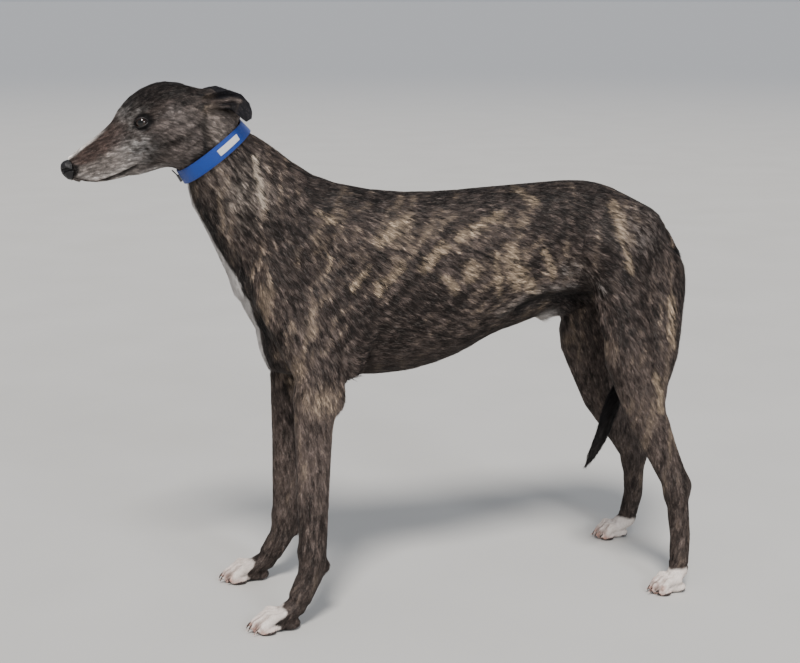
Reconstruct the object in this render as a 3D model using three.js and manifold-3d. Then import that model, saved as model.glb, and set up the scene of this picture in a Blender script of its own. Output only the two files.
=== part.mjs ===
// A greyhound that stands still, life size, with a flat collar.
// Millimetres. +X runs towards the nose, +Y to the dog's left and +Z up. The body is laid out from
// the point on the floor midway between the four feet, and the last lines move the origin to the
// floor under the middle of the whole body's box.

import * as THREE from 'three';
import { mergeVertices } from 'three/addons/utils/BufferGeometryUtils.js';
import Module from 'manifold-3d';

const wasm = await Module();
wasm.setup();

// Driving sizes

const gap = 0.3;                  // clearance left between two pieces that touch
const heightAtWithers = 720;      // top of the shoulder blades above the floor
const heightAtLoin = 717;         // top of the arched back
const heightAtBrisket = 400;      // underside of the deep chest
const chestHalfWidth = 88;
const neckHalfDepth = 62;         // under the collar, front to back
const neckHalfWidth = 47;
const headPitch = 22;             // degrees that the line of the muzzle slopes down
const noseTip = [655, 0, 765];
const eyeRadius = 11.5;
const eyePlace = { back: 144, up: 18, out: 34 };   // from the nose tip, along the head
const collarWidth = 24;
const collarThickness = 2.2;
const collarTop = [365, 0, 822];
const collarBottom = [459, 0, 750];
const labelLength = 41;
const labelWidth = 10.5;
const ringRadius = 6.5;           // the wire ring under the throat, and half the thickness of its wire
const ringWire = 1.1;

// Each leg's joints, from the body down to the ball of the foot. Side is +1 for left, -1 for right.
const frontLegs = {
  left: { side: 1, shoulder: [322, 62, 552], elbow: [272, 84, 388], knee: [281, 101, 128],
    pastern: [286, 104, 88], fetlock: [312, 108, 36], paw: [322, 112] },
  right: { side: -1, shoulder: [322, 62, 552], elbow: [276, 86, 388], knee: [284, 106, 122],
    pastern: [291, 109, 84], fetlock: [319, 115, 36], paw: [330, 119] },
};
const hindLegs = {
  left: { side: 1, hip: [-300, 58, 612], stifle: [-264, 96, 434], calf: [-286, 98, 408],
    shank: [-318, 103, 308], hock: [-370, 118, 182], cannon: [-377, 127, 96],
    fetlock: [-372, 136, 38], paw: [-371, 142] },
  right: { side: -1, hip: [-303, 58, 612], stifle: [-258, 96, 420], calf: [-284, 98, 392],
    shank: [-318, 103, 300], hock: [-396, 116, 168], cannon: [-403, 126, 92],
    fetlock: [-396, 136, 38], paw: [-388, 143] },
};

// Small vector sums

const add = (a, b) => [a[0] + b[0], a[1] + b[1], a[2] + b[2]];
const sub = (a, b) => [a[0] - b[0], a[1] - b[1], a[2] - b[2]];
const scale = (a, s) => [a[0] * s, a[1] * s, a[2] * s];
const dot = (a, b) => a[0] * b[0] + a[1] * b[1] + a[2] * b[2];
const size = (a) => Math.hypot(a[0], a[1], a[2]);
const unit = (a) => scale(a, 1 / size(a));
const cross = (a, b) => [a[1] * b[2] - a[2] * b[1], a[2] * b[0] - a[0] * b[2], a[0] * b[1] - a[1] * b[0]];
const mix = (a, b, t) => a + (b - a) * t;
const between = (a, b, t) => [mix(a[0], b[0], t), mix(a[1], b[1], t), mix(a[2], b[2], t)];
const clamp = (x, low, high) => Math.min(high, Math.max(low, x));
const degrees = Math.PI / 180;

// Forms. Each one is a function of a point that gives its distance outside the form's skin, and
// less than zero inside.

// Two distances joined with a fillet about as wide as the blend.
function soften(a, b, blend) {
  const h = Math.max(blend - Math.abs(a - b), 0) / blend;
  return Math.min(a, b) - h * h * blend * 0.25;
}

const carve = (a, b, blend) => -soften(-a, b, blend);   // a with b taken away

// A row of blended forms; each entry is [form, blend]. Forms too far off to matter are passed by.
function blended(entries) {
  const form = (p) => {
    let d = 1e6;
    for (const [part, blend] of entries) {
      if (part.reach && size(sub(p, part.middle)) - part.reach > d + blend) continue;
      d = soften(d, part(p), blend);
    }
    return d;
  };
  return Object.assign(form, { entries });
}

// The same row with only the forms that come near a box.
function nearBox(form, low, high) {
  const margin = 45;
  const far = ([part]) => part.reach && size([0, 1, 2].map((k) =>
    part.middle[k] - clamp(part.middle[k], low[k], high[k]))) > part.reach + margin;
  return form.entries ? blended(form.entries.filter((entry) => !far(entry))) : form;
}

// Distance to an oval, from a point measured across and along its two half sizes.
function ovalDistance(across, along, acrossHalf, alongHalf) {
  const reach = Math.hypot(across / acrossHalf, along / alongHalf);
  const slope = Math.hypot(across / acrossHalf ** 2, along / alongHalf ** 2);
  return slope < 1e-9 ? -Math.min(acrossHalf, alongHalf) : (reach * (reach - 1)) / slope;
}

// An oval lump with its three half sizes, tipped about the cross-ways axis by an angle in degrees.
function lump(centre, half, tip = 0) {
  const c = Math.cos(tip * degrees), s = Math.sin(tip * degrees);
  const form = (p) => {
    const x = p[0] - centre[0], y = p[1] - centre[1], z = p[2] - centre[2];
    const u = (x * c - z * s) / half[0], v = y / half[1], w = (x * s + z * c) / half[2];
    const far = Math.hypot(u, v, w);
    const slope = Math.hypot(u / half[0], v / half[1], w / half[2]);
    return slope < 1e-9 ? -Math.min(...half) : (far * (far - 1)) / slope;
  };
  return Object.assign(form, { middle: centre, reach: Math.max(...half) });
}

// A bone or muscle along a row of stations, each a point with two half sizes: deep is fore and
// aft, wide is across the body. Swell thickens each length half way along.
function limb(stations, swell = 0) {
  const lengths = stations.slice(1).map(([b, deepB, wideB], i) => {
    const [a, deepA, wideA] = stations[i];
    const run = sub(b, a);
    return { a, run, square: dot(run, run), deepA, deepB, wideA, wideB };
  });
  const form = (p) => {
    let d = 1e6;
    for (const { a, run, square, deepA, deepB, wideA, wideB } of lengths) {
      const from = sub(p, a);
      const t = clamp(dot(from, run) / square, 0, 1);
      const x = from[0] - run[0] * t, y = from[1] - run[1] * t, z = from[2] - run[2] * t;
      const fuller = 1 + swell * 4 * t * (1 - t);
      d = Math.min(d, ovalDistance(y, Math.hypot(x, z),
        mix(wideA, wideB, t) * fuller, mix(deepA, deepB, t) * fuller));
    }
    return d;
  };
  const middle = between(stations[0][0], stations[stations.length - 1][0], 0.5);
  const reach = Math.max(...stations.map(([c, deep, wide]) =>
    size(sub(c, middle)) + Math.max(deep, wide) * (1 + swell)));
  return Object.assign(form, { middle, reach });
}

// A smooth value at s, through rows that each start with their own place.
function along(rows, s, column) {
  let i = 0;
  while (i < rows.length - 2 && s > rows[i + 1][0]) i++;
  const [r0, r1] = [rows[i], rows[i + 1]];
  const before = rows[Math.max(i - 1, 0)], after = rows[Math.min(i + 2, rows.length - 1)];
  const span = r1[0] - r0[0], t = clamp((s - r0[0]) / span, 0, 1);
  const m0 = (r1[column] - before[column]) / (r1[0] - before[0] || 1) * span;
  const m1 = (after[column] - r0[column]) / (after[0] - r0[0] || 1) * span;
  const t2 = t * t, t3 = t2 * t;
  return (2 * t3 - 3 * t2 + 1) * r0[column] + (t3 - 2 * t2 + t) * m0
    + (3 * t2 - 2 * t3) * r1[column] + (t3 - t2) * m1;
}

// A body of oval sections along a straight axis. Each row holds: place along the axis, top,
// bottom, half width, and the share by which it is wider above its middle than below.
function sections(origin, axis, up, rows) {
  const first = rows[0][0], last = rows[rows.length - 1][0], step = 2;
  const rungs = Math.ceil((last - first) / step) + 2;
  const [tops, bottoms, widths, eggs] = [1, 2, 3, 4].map((column) =>
    Float64Array.from({ length: rungs }, (_, i) => along(rows, first + i * step, column)));
  return (p) => {
    const d = sub(p, origin);
    const s = dot(d, axis), v = dot(d, up);
    const place = (clamp(s, first, last) - first) / step, i = Math.floor(place);
    const t = place - i;
    const top = mix(tops[i], tops[i + 1], t), bottom = mix(bottoms[i], bottoms[i + 1], t);
    const middle = (top + bottom) / 2, half = (top - bottom) / 2;
    const height = clamp((v - middle) / half, -1, 1);
    const width = mix(widths[i], widths[i + 1], t) * (1 + mix(eggs[i], eggs[i + 1], t) * height);
    const round = ovalDistance(d[1], v - middle, width, half);
    const past = Math.max(first - s, s - last);
    return past < 0 ? Math.max(round, past) : Math.hypot(Math.max(round, 0), past);
  };
}

const mirrored = (point, side) => [point[0], point[1] * side, point[2]];

// Trunk: deep chest, drawn-up belly, arched loin and sloping rump

const trunk = sections([0, 0, 0], [1, 0, 0], [0, 0, 1], [
  [-390, 606, 522, 14, 0],
  [-375, 632, 516, 32, 0],
  [-345, 664, 520, 50, 0.05],
  [-300, 693, 522, 62, 0.12],
  [-250, 712, 518, 70, 0.2],
  [-195, heightAtLoin, 504, 71, 0.22],
  [-125, 714, 476, 74, 0.16],
  [-60, 711, 456, 80, 0.1],
  [10, 707, 424, 86, 0.06],
  [80, 707, 405, chestHalfWidth, 0.04],
  [145, 713, heightAtBrisket, 84, 0.02],
  [205, heightAtWithers, 404, 72, -0.02],
  [265, 706, 412, 62, -0.06],
  [325, 645, 428, 46, -0.05],
]);

const breast = [
  [lump([321, 0, 548], [54, 52, 66], 12), 24],
  [lump([304, 0, 470], [42, 46, 60], 8), 24],
];

const sheath = limb([[[-246, 0, 518], 15, 14], [[-205, 0, 499], 13.5, 13], [[-153, 0, 485], 11, 10.5]]);
const tailRoot = limb([[[-376, 0, 610], 19, 18], [[-402, 0, 574], 16, 15]]);

// Neck: a long oval column that widens into the shoulders

const napewards = unit(sub(collarTop, collarBottom));
const neckRun = [-napewards[2], 0, napewards[0]];   // down the neck, from the head to the chest
const collarMiddle = between(collarTop, collarBottom, 0.5);
const neck = sections(collarMiddle, neckRun, napewards, [
  [-70, 50, -70, 50, 0.05],
  [-30, neckHalfDepth - 8, -neckHalfDepth - 2, neckHalfWidth + 2, 0],
  [0, neckHalfDepth - 4, -neckHalfDepth - 1, neckHalfWidth + 1, -0.02],
  [45, 73, -83, 52, -0.05],
  [95, 87, -93, 57, -0.08],
  [150, 105, -106, 63, -0.1],
  [200, 114, -113, 66, -0.1],
]);

// Head

const slope = headPitch * degrees;
const backwards = [-Math.cos(slope), 0, Math.sin(slope)];
const upwards = [Math.sin(slope), 0, Math.cos(slope)];
const inHead = (back, up, out) =>
  add(noseTip, add(add(scale(backwards, back), scale(upwards, up)), [0, out, 0]));

const muzzle = sections(noseTip, backwards, upwards, [
  [4, 3, -21, 10, 0],
  [18, 9, -33, 15, -0.08],
  [41, 16, -46, 18.5, -0.1],
  [70, 23, -54, 21.5, -0.08],
  [98, 32, -58, 26, -0.02],
  [120, 47, -61, 34, 0.02],
  [145, 58, -63, 42, 0.08],
  [175, 62, -64, 47, 0.08],
  [205, 57, -64, 47, 0.05],
  [232, 40, -62, 45, 0],
  [262, 18, -60, 40, 0],
]);

const headForms = [[muzzle, 10]];
for (const side of [1, -1]) {
  headForms.push(
    [lump(inHead(147, 35, 27 * side), [20, 11, 12], headPitch), 16],         // brow
    [limb([[inHead(128, -1, 29 * side), 8, 6], [inHead(184, -3, 44 * side), 12, 8]]), 22],   // cheek bone
    [lump(inHead(180, -26, 32 * side), [40, 20, 34], headPitch), 20],        // cheek muscle
    [lump(inHead(196, 28, 34 * side), [40, 16, 26], headPitch), 20],         // temple muscle
    [lump(inHead(260, -20, 28 * side), [36, 28, 22], headPitch), 20],        // side of the first neck bone
    [lump(inHead(eyePlace.back, eyePlace.up, (eyePlace.out - 1) * side), [14.5, 13.5, 13.5]), 6],
  );
}
const earBase = { left: [438, 42, 861], right: [438, -42, 861] };
for (const root of Object.values(earBase))
  headForms.push([limb([[add(root, [15, -Math.sign(root[1]) * 14, -7]), 16, 14], [root, 10, 8]]), 16]);
headForms.push(
  [lump(inHead(11, -8, 0), [12.5, 12, 15], headPitch), 5],                    // nose leather
  [lump(inHead(19, -8, 9), [10, 8, 9], headPitch), 4],
  [lump(inHead(19, -8, -9), [10, 8, 9], headPitch), 4],
);
const plainHead = blended(headForms);

// The mouth runs back from under the nose; the lower lip sits inside the upper one.
const mouthLine = [[8, -19], [24, -31], [38, -40.5], [60, -43], [84, -43], [106, -41]];
const mouthCorner = mouthLine[mouthLine.length - 1];
const lipStep = 3;
function jawSkin(p) {
  const back = dot(sub(p, noseTip), backwards);
  return plainHead(p) + lipStep * clamp((mouthCorner[0] - back) / 16, 0, 1);
}

const nostrils = [1, -1].map((side) => limb([[inHead(2, -7, 6 * side), 3.4, 3.2],
  [inHead(8, -6, 10.5 * side), 3, 2.8], [inHead(15, -10, 15.5 * side), 1.5, 1.7]]));
const noseMiddle = inHead(6, -7, 0), noseHalf = [20, 19, 17];
const noseEnd = lump(noseMiddle, noseHalf, headPitch);
const noseSkin = (p) => Math.max(noseEnd(p), nostrils.reduce((skin, nostril) => carve(skin, nostril(p), 1.5),
  plainHead(p)));

// Legs, each with its shoulder or haunch

const dewclaw = [-2, -17, -8];   // from the pastern to the small inner toe

function frontLimb({ side, shoulder, elbow, knee, pastern, fetlock }) {
  const at = (point) => mirrored(point, side);
  return [
    [limb([[at([200, 30, 664]), 36, 16], [at([300, 50, 580]), 42, 22]]), 30],      // shoulder blade
    [limb([[at(shoulder), 40, 22], [at([262, 80, 425]), 38, 23]], 0.04), 26],      // upper arm
    [lump(at([226, 70, 492]), [46, 22, 84], 12), 26],                              // triceps
    [limb([[at(elbow), 35, 24], [at(between(elbow, knee, 0.45)), 29, 20], [at(knee), 23.5, 19],
      [at(pastern), 21.5, 19], [at(fetlock), 19.5, 20]]), 16],
    [lump(at([236, 90, 386]), [18, 11, 25]), 14],                                  // point of the elbow
    [lump(at(add(knee, [4, 0, 0])), [21, 20.5, 20]), 8],                           // wrist
    [lump(at(add(knee, [-21, 1, -28])), [8, 8, 13]), 9],                           // stopper pad
    [lump(at(add(pastern, dewclaw)), [8, 6, 11]), 5],                              // inner toe, off the floor
  ];
}

function hindLimb({ side, hip, stifle, calf, shank, hock, cannon, fetlock }) {
  const at = (point) => mirrored(point, side);
  const heel = add(hock, [-17, 0, 5]);
  return [
    [lump(at([-282, 38, 620]), [82, 42, 55], 14), 26],                             // croup
    [limb([[at(add(hip, [26, 6, -22])), 60, 32], [at(add(stifle, [-7, -4, 22])), 33, 28]]), 28],
    [limb([[at([-343, 56, 553]), 55, 29], [at([calf[0] - 43, 90, 430]), 46, 26],
      [at([calf[0] - 43, 92, 364]), 27, 19]], 0.05), 28],
    [lump(at(add(stifle, [-2, 2, 2])), [23, 22, 32], -20), 18],                     // knee cap
    [limb([[at(calf), 43, 29], [at(shank), 35, 23], [at(between(shank, hock, 0.5)), 26, 17.5],
      [at(add(hock, [2, 0, 8])), 21.5, 17]]), 20],
    [limb([[at(add(shank, [-26, 0, -6])), 8, 7], [at(heel), 8, 7]]), 12],          // heel tendon
    [lump(at(hock), [21.5, 18.5, 27], -12), 12],
    [lump(at(heel), [9, 9.5, 14]), 8],
    [limb([[at(add(hock, [-2, 2, -16])), 20.5, 17.5], [at(cannon), 18, 16], [at(fetlock), 16.5, 19]]), 12],
  ];
}

const torsoForms = [[trunk, 1], ...breast, [neck, 40]];
for (const leg of Object.values(frontLegs)) torsoForms.push(...frontLimb(leg));
for (const leg of Object.values(hindLegs)) torsoForms.push(...hindLimb(leg));
torsoForms.push([sheath, 9], [tailRoot, 14]);
const body = blended([...torsoForms, [plainHead, 26]]);

// Paws: four arched toes with a pad under each, a heel pad and curved claws

function pawForm({ side, paw, fetlock, pastern, cannon, hock }, long, broad, high) {
  const above = pastern || cannon || hock;
  const at = (forward, out, up) => [paw[0] + forward, side * paw[1] + out, up];
  const forms = [
    [limb([[mirrored(above, side), 20, 18], [mirrored(fetlock, side), 17.5, 0.38 * broad],
      [at(0.3 * long, 0, 0.56 * high), 0.38 * high, 0.4 * broad],
      [at(0.62 * long, 0, 0.45 * high), 0.32 * high, 0.38 * broad]]), 10],
    [lump(at(0.02 * long, 0, 0.25 * high), [0.26 * long, 0.36 * broad, 0.28 * high]), 6],       // heel pad
    [lump(at(0.34 * long, 0, 0.26 * high), [0.28 * long, 0.36 * broad, 0.22 * high]), 8],       // ball
  ];
  const claws = [];
  [-1.5, -0.5, 0.5, 1.5].forEach((row) => {
    const reach = Math.abs(row) > 1 ? 0.84 * long : long;
    const out = 0.25 * broad * row;
    forms.push(
      [limb([[at(0.12 * long, 0.62 * out, 0.72 * high), 0.25 * high, 0.17 * broad],
        [at(0.54 * reach, 0.97 * out, 0.74 * high), 0.23 * high, 0.137 * broad],
        [at(0.8 * reach, 1.05 * out, 0.5 * high), 0.22 * high, 0.135 * broad],
        [at(0.92 * reach, 1.06 * out, 0.3 * high), 0.2 * high, 0.12 * broad]]), 2.5],
      [lump(at(0.76 * reach, 1.04 * out, 0.2 * high),                                             // toe pad
        [0.22 * long, 0.132 * broad, 0.23 * high]), 3],
    );
    claws.push([at(0.94 * reach, 1.06 * out, 0.33 * high), at(1.1 * reach, 1.1 * out, 0.27 * high),
      at(1.19 * reach, 1.13 * out, 0.08 * high)]);
  });
  return { form: blended(forms), claws };
}


// Solids. A form is cut into small cells, each cell that its skin crosses gets one corner, and the
// corners are drawn onto the skin and thinned out where it is nearly flat.

function cellSurface(form, low, high, cell) {
  const n = [0, 1, 2].map((k) => Math.ceil((high[k] - low[k]) / cell) + 4);
  const stride = [1, n[0], n[0] * n[1]];
  const place = (...cells) => cells.map((count, k) => low[k] + (count - 1.5) * cell);
  const inBox = (p) => Math.max(low[0] - p[0], low[1] - p[1], low[2] - p[2],
    p[0] - high[0], p[1] - high[1], p[2] - high[2]);
  const value = (p) => Math.max(form(p), inBox(p));
  const grid = new Float64Array(n[0] * n[1] * n[2]);
  const block = 4;
  const clear = 1.7 * (block / 2) * Math.sqrt(3) * cell;   // a block this clear of the skin is skipped
  for (let k0 = 0; k0 < n[2]; k0 += block)
    for (let j0 = 0; j0 < n[1]; j0 += block)
      for (let i0 = 0; i0 < n[0]; i0 += block) {
        const rough = value(place(i0 + 1.5, j0 + 1.5, k0 + 1.5)), empty = Math.abs(rough) > clear;
        for (let k = k0; k < Math.min(k0 + block, n[2]); k++)
          for (let j = j0; j < Math.min(j0 + block, n[1]); j++)
            for (let i = i0; i < Math.min(i0 + block, n[0]); i++)
              grid[i + j * stride[1] + k * stride[2]] = empty ? rough : value(place(i, j, k));
      }

  const points = [], faces = [];
  const cornerOf = new Map();
  const edges = [];
  for (let a = 0; a < 3; a++)
    for (let c = 0; c < 4; c++) {
      const from = [0, 0, 0];
      from[(a + 1) % 3] = c & 1;
      from[(a + 2) % 3] = c >> 1;
      edges.push([from, a]);
    }
  for (let k = 0; k < n[2] - 1; k++)
    for (let j = 0; j < n[1] - 1; j++)
      for (let i = 0; i < n[0] - 1; i++) {
        const at = i + j * stride[1] + k * stride[2];
        let sum = [0, 0, 0], count = 0;
        for (const [from, a] of edges) {
          const start = at + from[0] + from[1] * stride[1] + from[2] * stride[2];
          const v0 = grid[start], v1 = grid[start + stride[a]];
          if (v0 < 0 === v1 < 0) continue;
          const p = place(i + from[0], j + from[1], k + from[2]);
          p[a] += cell * v0 / (v0 - v1);
          sum = add(sum, p);
          count++;
        }
        if (!count) continue;
        cornerOf.set(at, points.length);
        points.push(scale(sum, 1 / count));
      }
  for (let k = 1; k < n[2] - 1; k++)
    for (let j = 1; j < n[1] - 1; j++)
      for (let i = 1; i < n[0] - 1; i++) {
        const at = i + j * stride[1] + k * stride[2];
        for (let a = 0; a < 3; a++) {
          const inside = grid[at] < 0;
          if (inside === grid[at + stride[a]] < 0) continue;
          const u = stride[(a + 1) % 3], v = stride[(a + 2) % 3];
          const quad = [at, at - u, at - u - v, at - v].map((c) => cornerOf.get(c));
          if (!inside) quad.reverse();
          const across = size(sub(points[quad[0]], points[quad[2]]));
          const other = size(sub(points[quad[1]], points[quad[3]]));
          const [p, q, r, t] = across < other ? quad : [...quad.slice(1), quad[0]];
          faces.push([p, q, r], [p, r, t]);
        }
      }
  const reach = cell / 3;
  for (const p of points) {
    for (let step = 0; step < 3; step++) {
      const d = value(p), h = cell / 20;
      const rise = [0, 1, 2].map((k) => {
        const q = [...p];
        q[k] += h;
        return (value(q) - d) / h;
      });
      const move = clamp(d / Math.max(dot(rise, rise), 0.05), -reach, reach);
      for (let k = 0; k < 3; k++) p[k] -= rise[k] * move;
    }
  }
  return { points, faces };
}

// Joins corners pair by pair, the least change to the surface first, until few faces are left.
function thinOut({ points, faces }, wanted) {
  const star = points.map(() => new Set());
  faces.forEach((f, i) => f.forEach((v) => star[v].add(i)));
  const quadric = points.map(() => new Float64Array(10));
  const facing = (f) => cross(sub(points[f[1]], points[f[0]]), sub(points[f[2]], points[f[0]]));
  for (const f of faces) {
    const n = facing(f), area = size(n) || 1e-9;
    const [a, b, c] = scale(n, 1 / area), d = -dot([a, b, c], points[f[0]]);
    const q = [a * a, a * b, a * c, a * d, b * b, b * c, b * d, c * c, c * d, d * d];
    for (const v of f) q.forEach((term, i) => { quadric[v][i] += term * area; });
  }
  const error = (q, [x, y, z]) => q[0] * x * x + 2 * q[1] * x * y + 2 * q[2] * x * z + 2 * q[3] * x
    + q[4] * y * y + 2 * q[5] * y * z + 2 * q[6] * y + q[7] * z * z + 2 * q[8] * z + q[9];
  const best = (q, a, b) => {
    const m = new THREE.Matrix3().set(q[0], q[1], q[2], q[1], q[4], q[5], q[2], q[5], q[7]);
    const middle = between(a, b, 0.5), span = size(sub(a, b));
    const choices = [middle, a, b];
    if (Math.abs(m.determinant()) > 1e-4 * (q[0] + q[4] + q[7]) ** 3 * 1e-3) {
      const v = new THREE.Vector3(-q[3], -q[6], -q[8]).applyMatrix3(m.invert()).toArray();
      if (size(sub(v, middle)) < span) choices.unshift(v);
    }
    return choices.reduce((x, y) => (error(q, y) < error(q, x) - 1e-9 ? y : x));
  };

  const heap = [];
  const age = new Uint32Array(points.length);
  const swap = (i, j) => { [heap[i], heap[j]] = [heap[j], heap[i]]; };
  const push = (item) => {
    let i = heap.push(item) - 1;
    for (; i && heap[i].cost < heap[(i - 1) >> 1].cost; i = (i - 1) >> 1) swap(i, (i - 1) >> 1);
  };
  const pop = () => {
    const top = heap[0], last = heap.pop();
    if (heap.length) {
      heap[0] = last;
      for (let i = 0; ;) {
        let small = i;
        for (const c of [2 * i + 1, 2 * i + 2])
          if (c < heap.length && heap[c].cost < heap[small].cost) small = c;
        if (small === i) break;
        swap(i, small);
        i = small;
      }
    }
    return top;
  };
  const offer = (a, b) => {
    const q = quadric[a].map((term, i) => term + quadric[b][i]);
    const at = best(q, points[a], points[b]);
    const span = size(sub(points[a], points[b]));
    push({ cost: Math.max(error(q, at), 0) + 1e-5 * span ** 4, a, b, at, ages: age[a] + age[b] });
  };
  const neighbours = (v) => {
    const near = new Set();
    for (const f of star[v]) for (const w of faces[f]) if (w !== v) near.add(w);
    return near;
  };
  points.forEach((_, v) => { for (const w of neighbours(v)) if (v < w) offer(v, w); });

  let left = faces.length;
  while (left > wanted && heap.length) {
    const { a, b, at, ages } = pop();
    if (!star[a].size || !star[b].size || age[a] + age[b] !== ages) continue;
    const nearB = neighbours(b);
    const shared = [...neighbours(a)].filter((w) => nearB.has(w));
    const common = [...star[a]].filter((f) => star[b].has(f));
    if (shared.length !== 2 || common.length !== 2) continue;
    let sound = true;
    for (const v of [a, b])
      for (const f of star[v]) {
        if (common.includes(f)) continue;
        const was = facing(faces[f]);
        const corners = faces[f].map((w) => (w === v ? at : points[w]));
        const now = cross(sub(corners[1], corners[0]), sub(corners[2], corners[0]));
        const longest = Math.max(...[0, 1, 2].map((i) => size(sub(corners[i], corners[(i + 1) % 3]))));
        if (dot(was, now) < 0.3 * size(was) * size(now) || size(now) < 0.12 * longest ** 2) sound = false;
      }
    if (!sound) continue;
    points[a] = at;
    quadric[a] = quadric[a].map((term, i) => term + quadric[b][i]);
    for (const f of common) for (const v of faces[f]) star[v].delete(f);
    for (const f of star[b]) {
      faces[f] = faces[f].map((v) => (v === b ? a : v));
      star[a].add(f);
    }
    star[b] = new Set();
    left -= 2;
    age[a]++;
    age[b]++;
    for (const v of neighbours(a)) offer(a, v);
  }
  const kept = new Set(star.flatMap((s) => [...s]));
  return { points, faces: [...kept].map((f) => faces[f]) };
}

function solidFrom({ points, faces }) {
  const used = new Map();
  for (const f of faces) for (const v of f) if (!used.has(v)) used.set(v, used.size);
  const vertProperties = new Float32Array(used.size * 3);
  for (const [v, i] of used) vertProperties.set(points[v], i * 3);
  const build = (order) => new wasm.Manifold(new wasm.Mesh({ numProp: 3, vertProperties,
    triVerts: new Uint32Array(faces.flatMap((f) => order.map((i) => used.get(f[i])))) }));
  const solid = build([0, 1, 2]);
  return solid.volume() > 0 ? solid : build([0, 2, 1]);
}

const formSolid = (form, low, high, cell, wanted) =>
  solidFrom(thinOut(cellSurface(nearBox(form, low, high), low, high, cell), wanted));


const boxAround = (middle, half) => [sub(middle, half), add(middle, half)];

// Keeps what lies past a plane through the point, on the side that the normal points to.
function past(solid, point, normal, clear = gap / 2) {
  const deep = 2000;
  const slab = new THREE.BoxGeometry(deep, deep, deep);
  slab.translate(0, 0, deep / 2 + clear);
  const turn = new THREE.Quaternion().setFromUnitVectors(new THREE.Vector3(0, 0, 1),
    new THREE.Vector3(...unit(normal)));
  slab.applyQuaternion(turn);
  slab.translate(...point);
  return solid.intersect(fromGeometry(slab));
}

function fromGeometry(geometry) {
  const plain = geometry.clone();
  plain.deleteAttribute('normal');
  plain.deleteAttribute('uv');
  const { attributes: { position }, index } = mergeVertices(plain, 1e-4);
  const points = Array.from({ length: position.count }, (_, i) =>
    [position.getX(i), position.getY(i), position.getZ(i)]);
  const faces = Array.from({ length: index.count / 3 }, (_, i) =>
    [0, 1, 2].map((k) => index.getX(3 * i + k)));
  return solidFrom({ points, faces });
}

const largest = (solid) => solid.decompose().reduce((a, b) => (b.volume() > a.volume() ? b : a));
const turned = (normal) => scale(normal, -1);

// A skin drawn through rings of corners, closed over at both ends.
function skinned(rings) {
  const points = rings.flat(), many = rings[0].length, faces = [];
  for (let r = 0; r < rings.length - 1; r++)
    for (let i = 0; i < many; i++) {
      const a = r * many + i, b = r * many + (i + 1) % many, c = a + many, d = b + many;
      faces.push([a, b, d], [a, d, c]);
    }
  for (const [ring, flip] of [[0, true], [rings.length - 1, false]]) {
    const middle = points.push(scale(rings[ring].reduce(add), 1 / many)) - 1;
    for (let i = 0; i < many; i++) {
      const a = ring * many + i, b = ring * many + (i + 1) % many;
      faces.push(flip ? [b, a, middle] : [a, b, middle]);
    }
  }
  return solidFrom({ points, faces });
}

// A round bar along a curve, its radius given at each share of the way.
function taper(curve, radius, steps, sides) {
  const frames = curve.computeFrenetFrames(steps, false);
  const rings = Array.from({ length: steps + 1 }, (_, i) => {
    const middle = curve.getPointAt(i / steps).toArray();
    return Array.from({ length: sides }, (_, k) => {
      const turn = 2 * Math.PI * k / sides, r = radius(i / steps);
      return add(middle, add(scale(frames.normals[i].toArray(), r * Math.cos(turn)),
        scale(frames.binormals[i].toArray(), r * Math.sin(turn))));
    });
  });
  return skinned(rings);
}

const vector = (a) => new THREE.Vector3(...a);
const curveThrough = (points) => new THREE.CatmullRomCurve3(points.map(vector));

const pieces = {};

// Torso, parted into chest, belly, rump, shoulders and thighs

const torso = formSolid(body, [-450, -135, 345], [410, 135, 745], 8.5, 2600);
const neckPlane = [add(collarMiddle, scale(neckRun, 165)), neckRun];
const headPlane = [add(collarMiddle, scale(neckRun, -21)), turned(neckRun)];
const ribsEnd = [[-40, 0, 600], [1, 0, 0.12]];
const loinEnd = [[-168, 0, 710], [0.951, 0, -0.308]];

// An oval plug set into the side of the body, its inner face upright or leaning.
function plug({ middle, half, inner, tip, lean }, side, clear) {
  const depth = 150, sidesRound = 24;
  const cylinder = new THREE.CylinderGeometry(1, 1, depth, sidesRound);
  cylinder.translate(0, depth / 2 - clear, 0);
  cylinder.scale(half[0] + clear, 1, half[1] + clear);
  cylinder.rotateY(tip * degrees);
  cylinder.rotateX(lean * degrees);
  if (side < 0) cylinder.rotateX(-2 * lean * degrees).rotateX(Math.PI);
  cylinder.translate(middle[0], inner * side, middle[1]);
  return fromGeometry(cylinder);
}
const shoulderPlug = { middle: [262, 505], half: [88, 190], inner: 44, tip: 8, lean: 4 };
const thighPlug = { middle: [-312, 462], half: [100, 196], inner: 24, tip: -10, lean: 0 };
const sides = { left: 1, right: -1 };

const elbowPlane = (leg, side) => [mirrored(add(leg.elbow, [0, 0, -22]), side), [0, 0, 1]];
const kneePlane = (leg, side) => [mirrored(add(leg.calf, [0, 0, -14]), side),
  mirrored(unit(sub(leg.calf, leg.shank)), side)];

let trunkLeft = torso;
for (const [name, side] of Object.entries(sides)) {
  pieces[`shoulder_${name}`] = past(past(torso.intersect(plug(shoulderPlug, side, 0)),
    ...elbowPlane(frontLegs[name], side)), ...neckPlane);
  pieces[`thigh_${name}`] = past(torso.intersect(plug(thighPlug, side, 0)),
    ...kneePlane(hindLegs[name], side));
  trunkLeft = trunkLeft.subtract(plug(shoulderPlug, side, gap)).subtract(plug(thighPlug, side, gap));
}
pieces.chest = past(past(trunkLeft, ...neckPlane), ...ribsEnd);
pieces.belly = past(past(trunkLeft, ribsEnd[0], turned(ribsEnd[1])), ...loinEnd);
pieces.rump = past(trunkLeft, loinEnd[0], turned(loinEnd[1]));

const neckSolid = formSolid(body, [180, -90, 520], [500, 90, 890], 7.5, 620);
pieces.neck = past(past(neckSolid, headPlane[0], turned(headPlane[1])), neckPlane[0], turned(neckPlane[1]));

// Legs and paws

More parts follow.
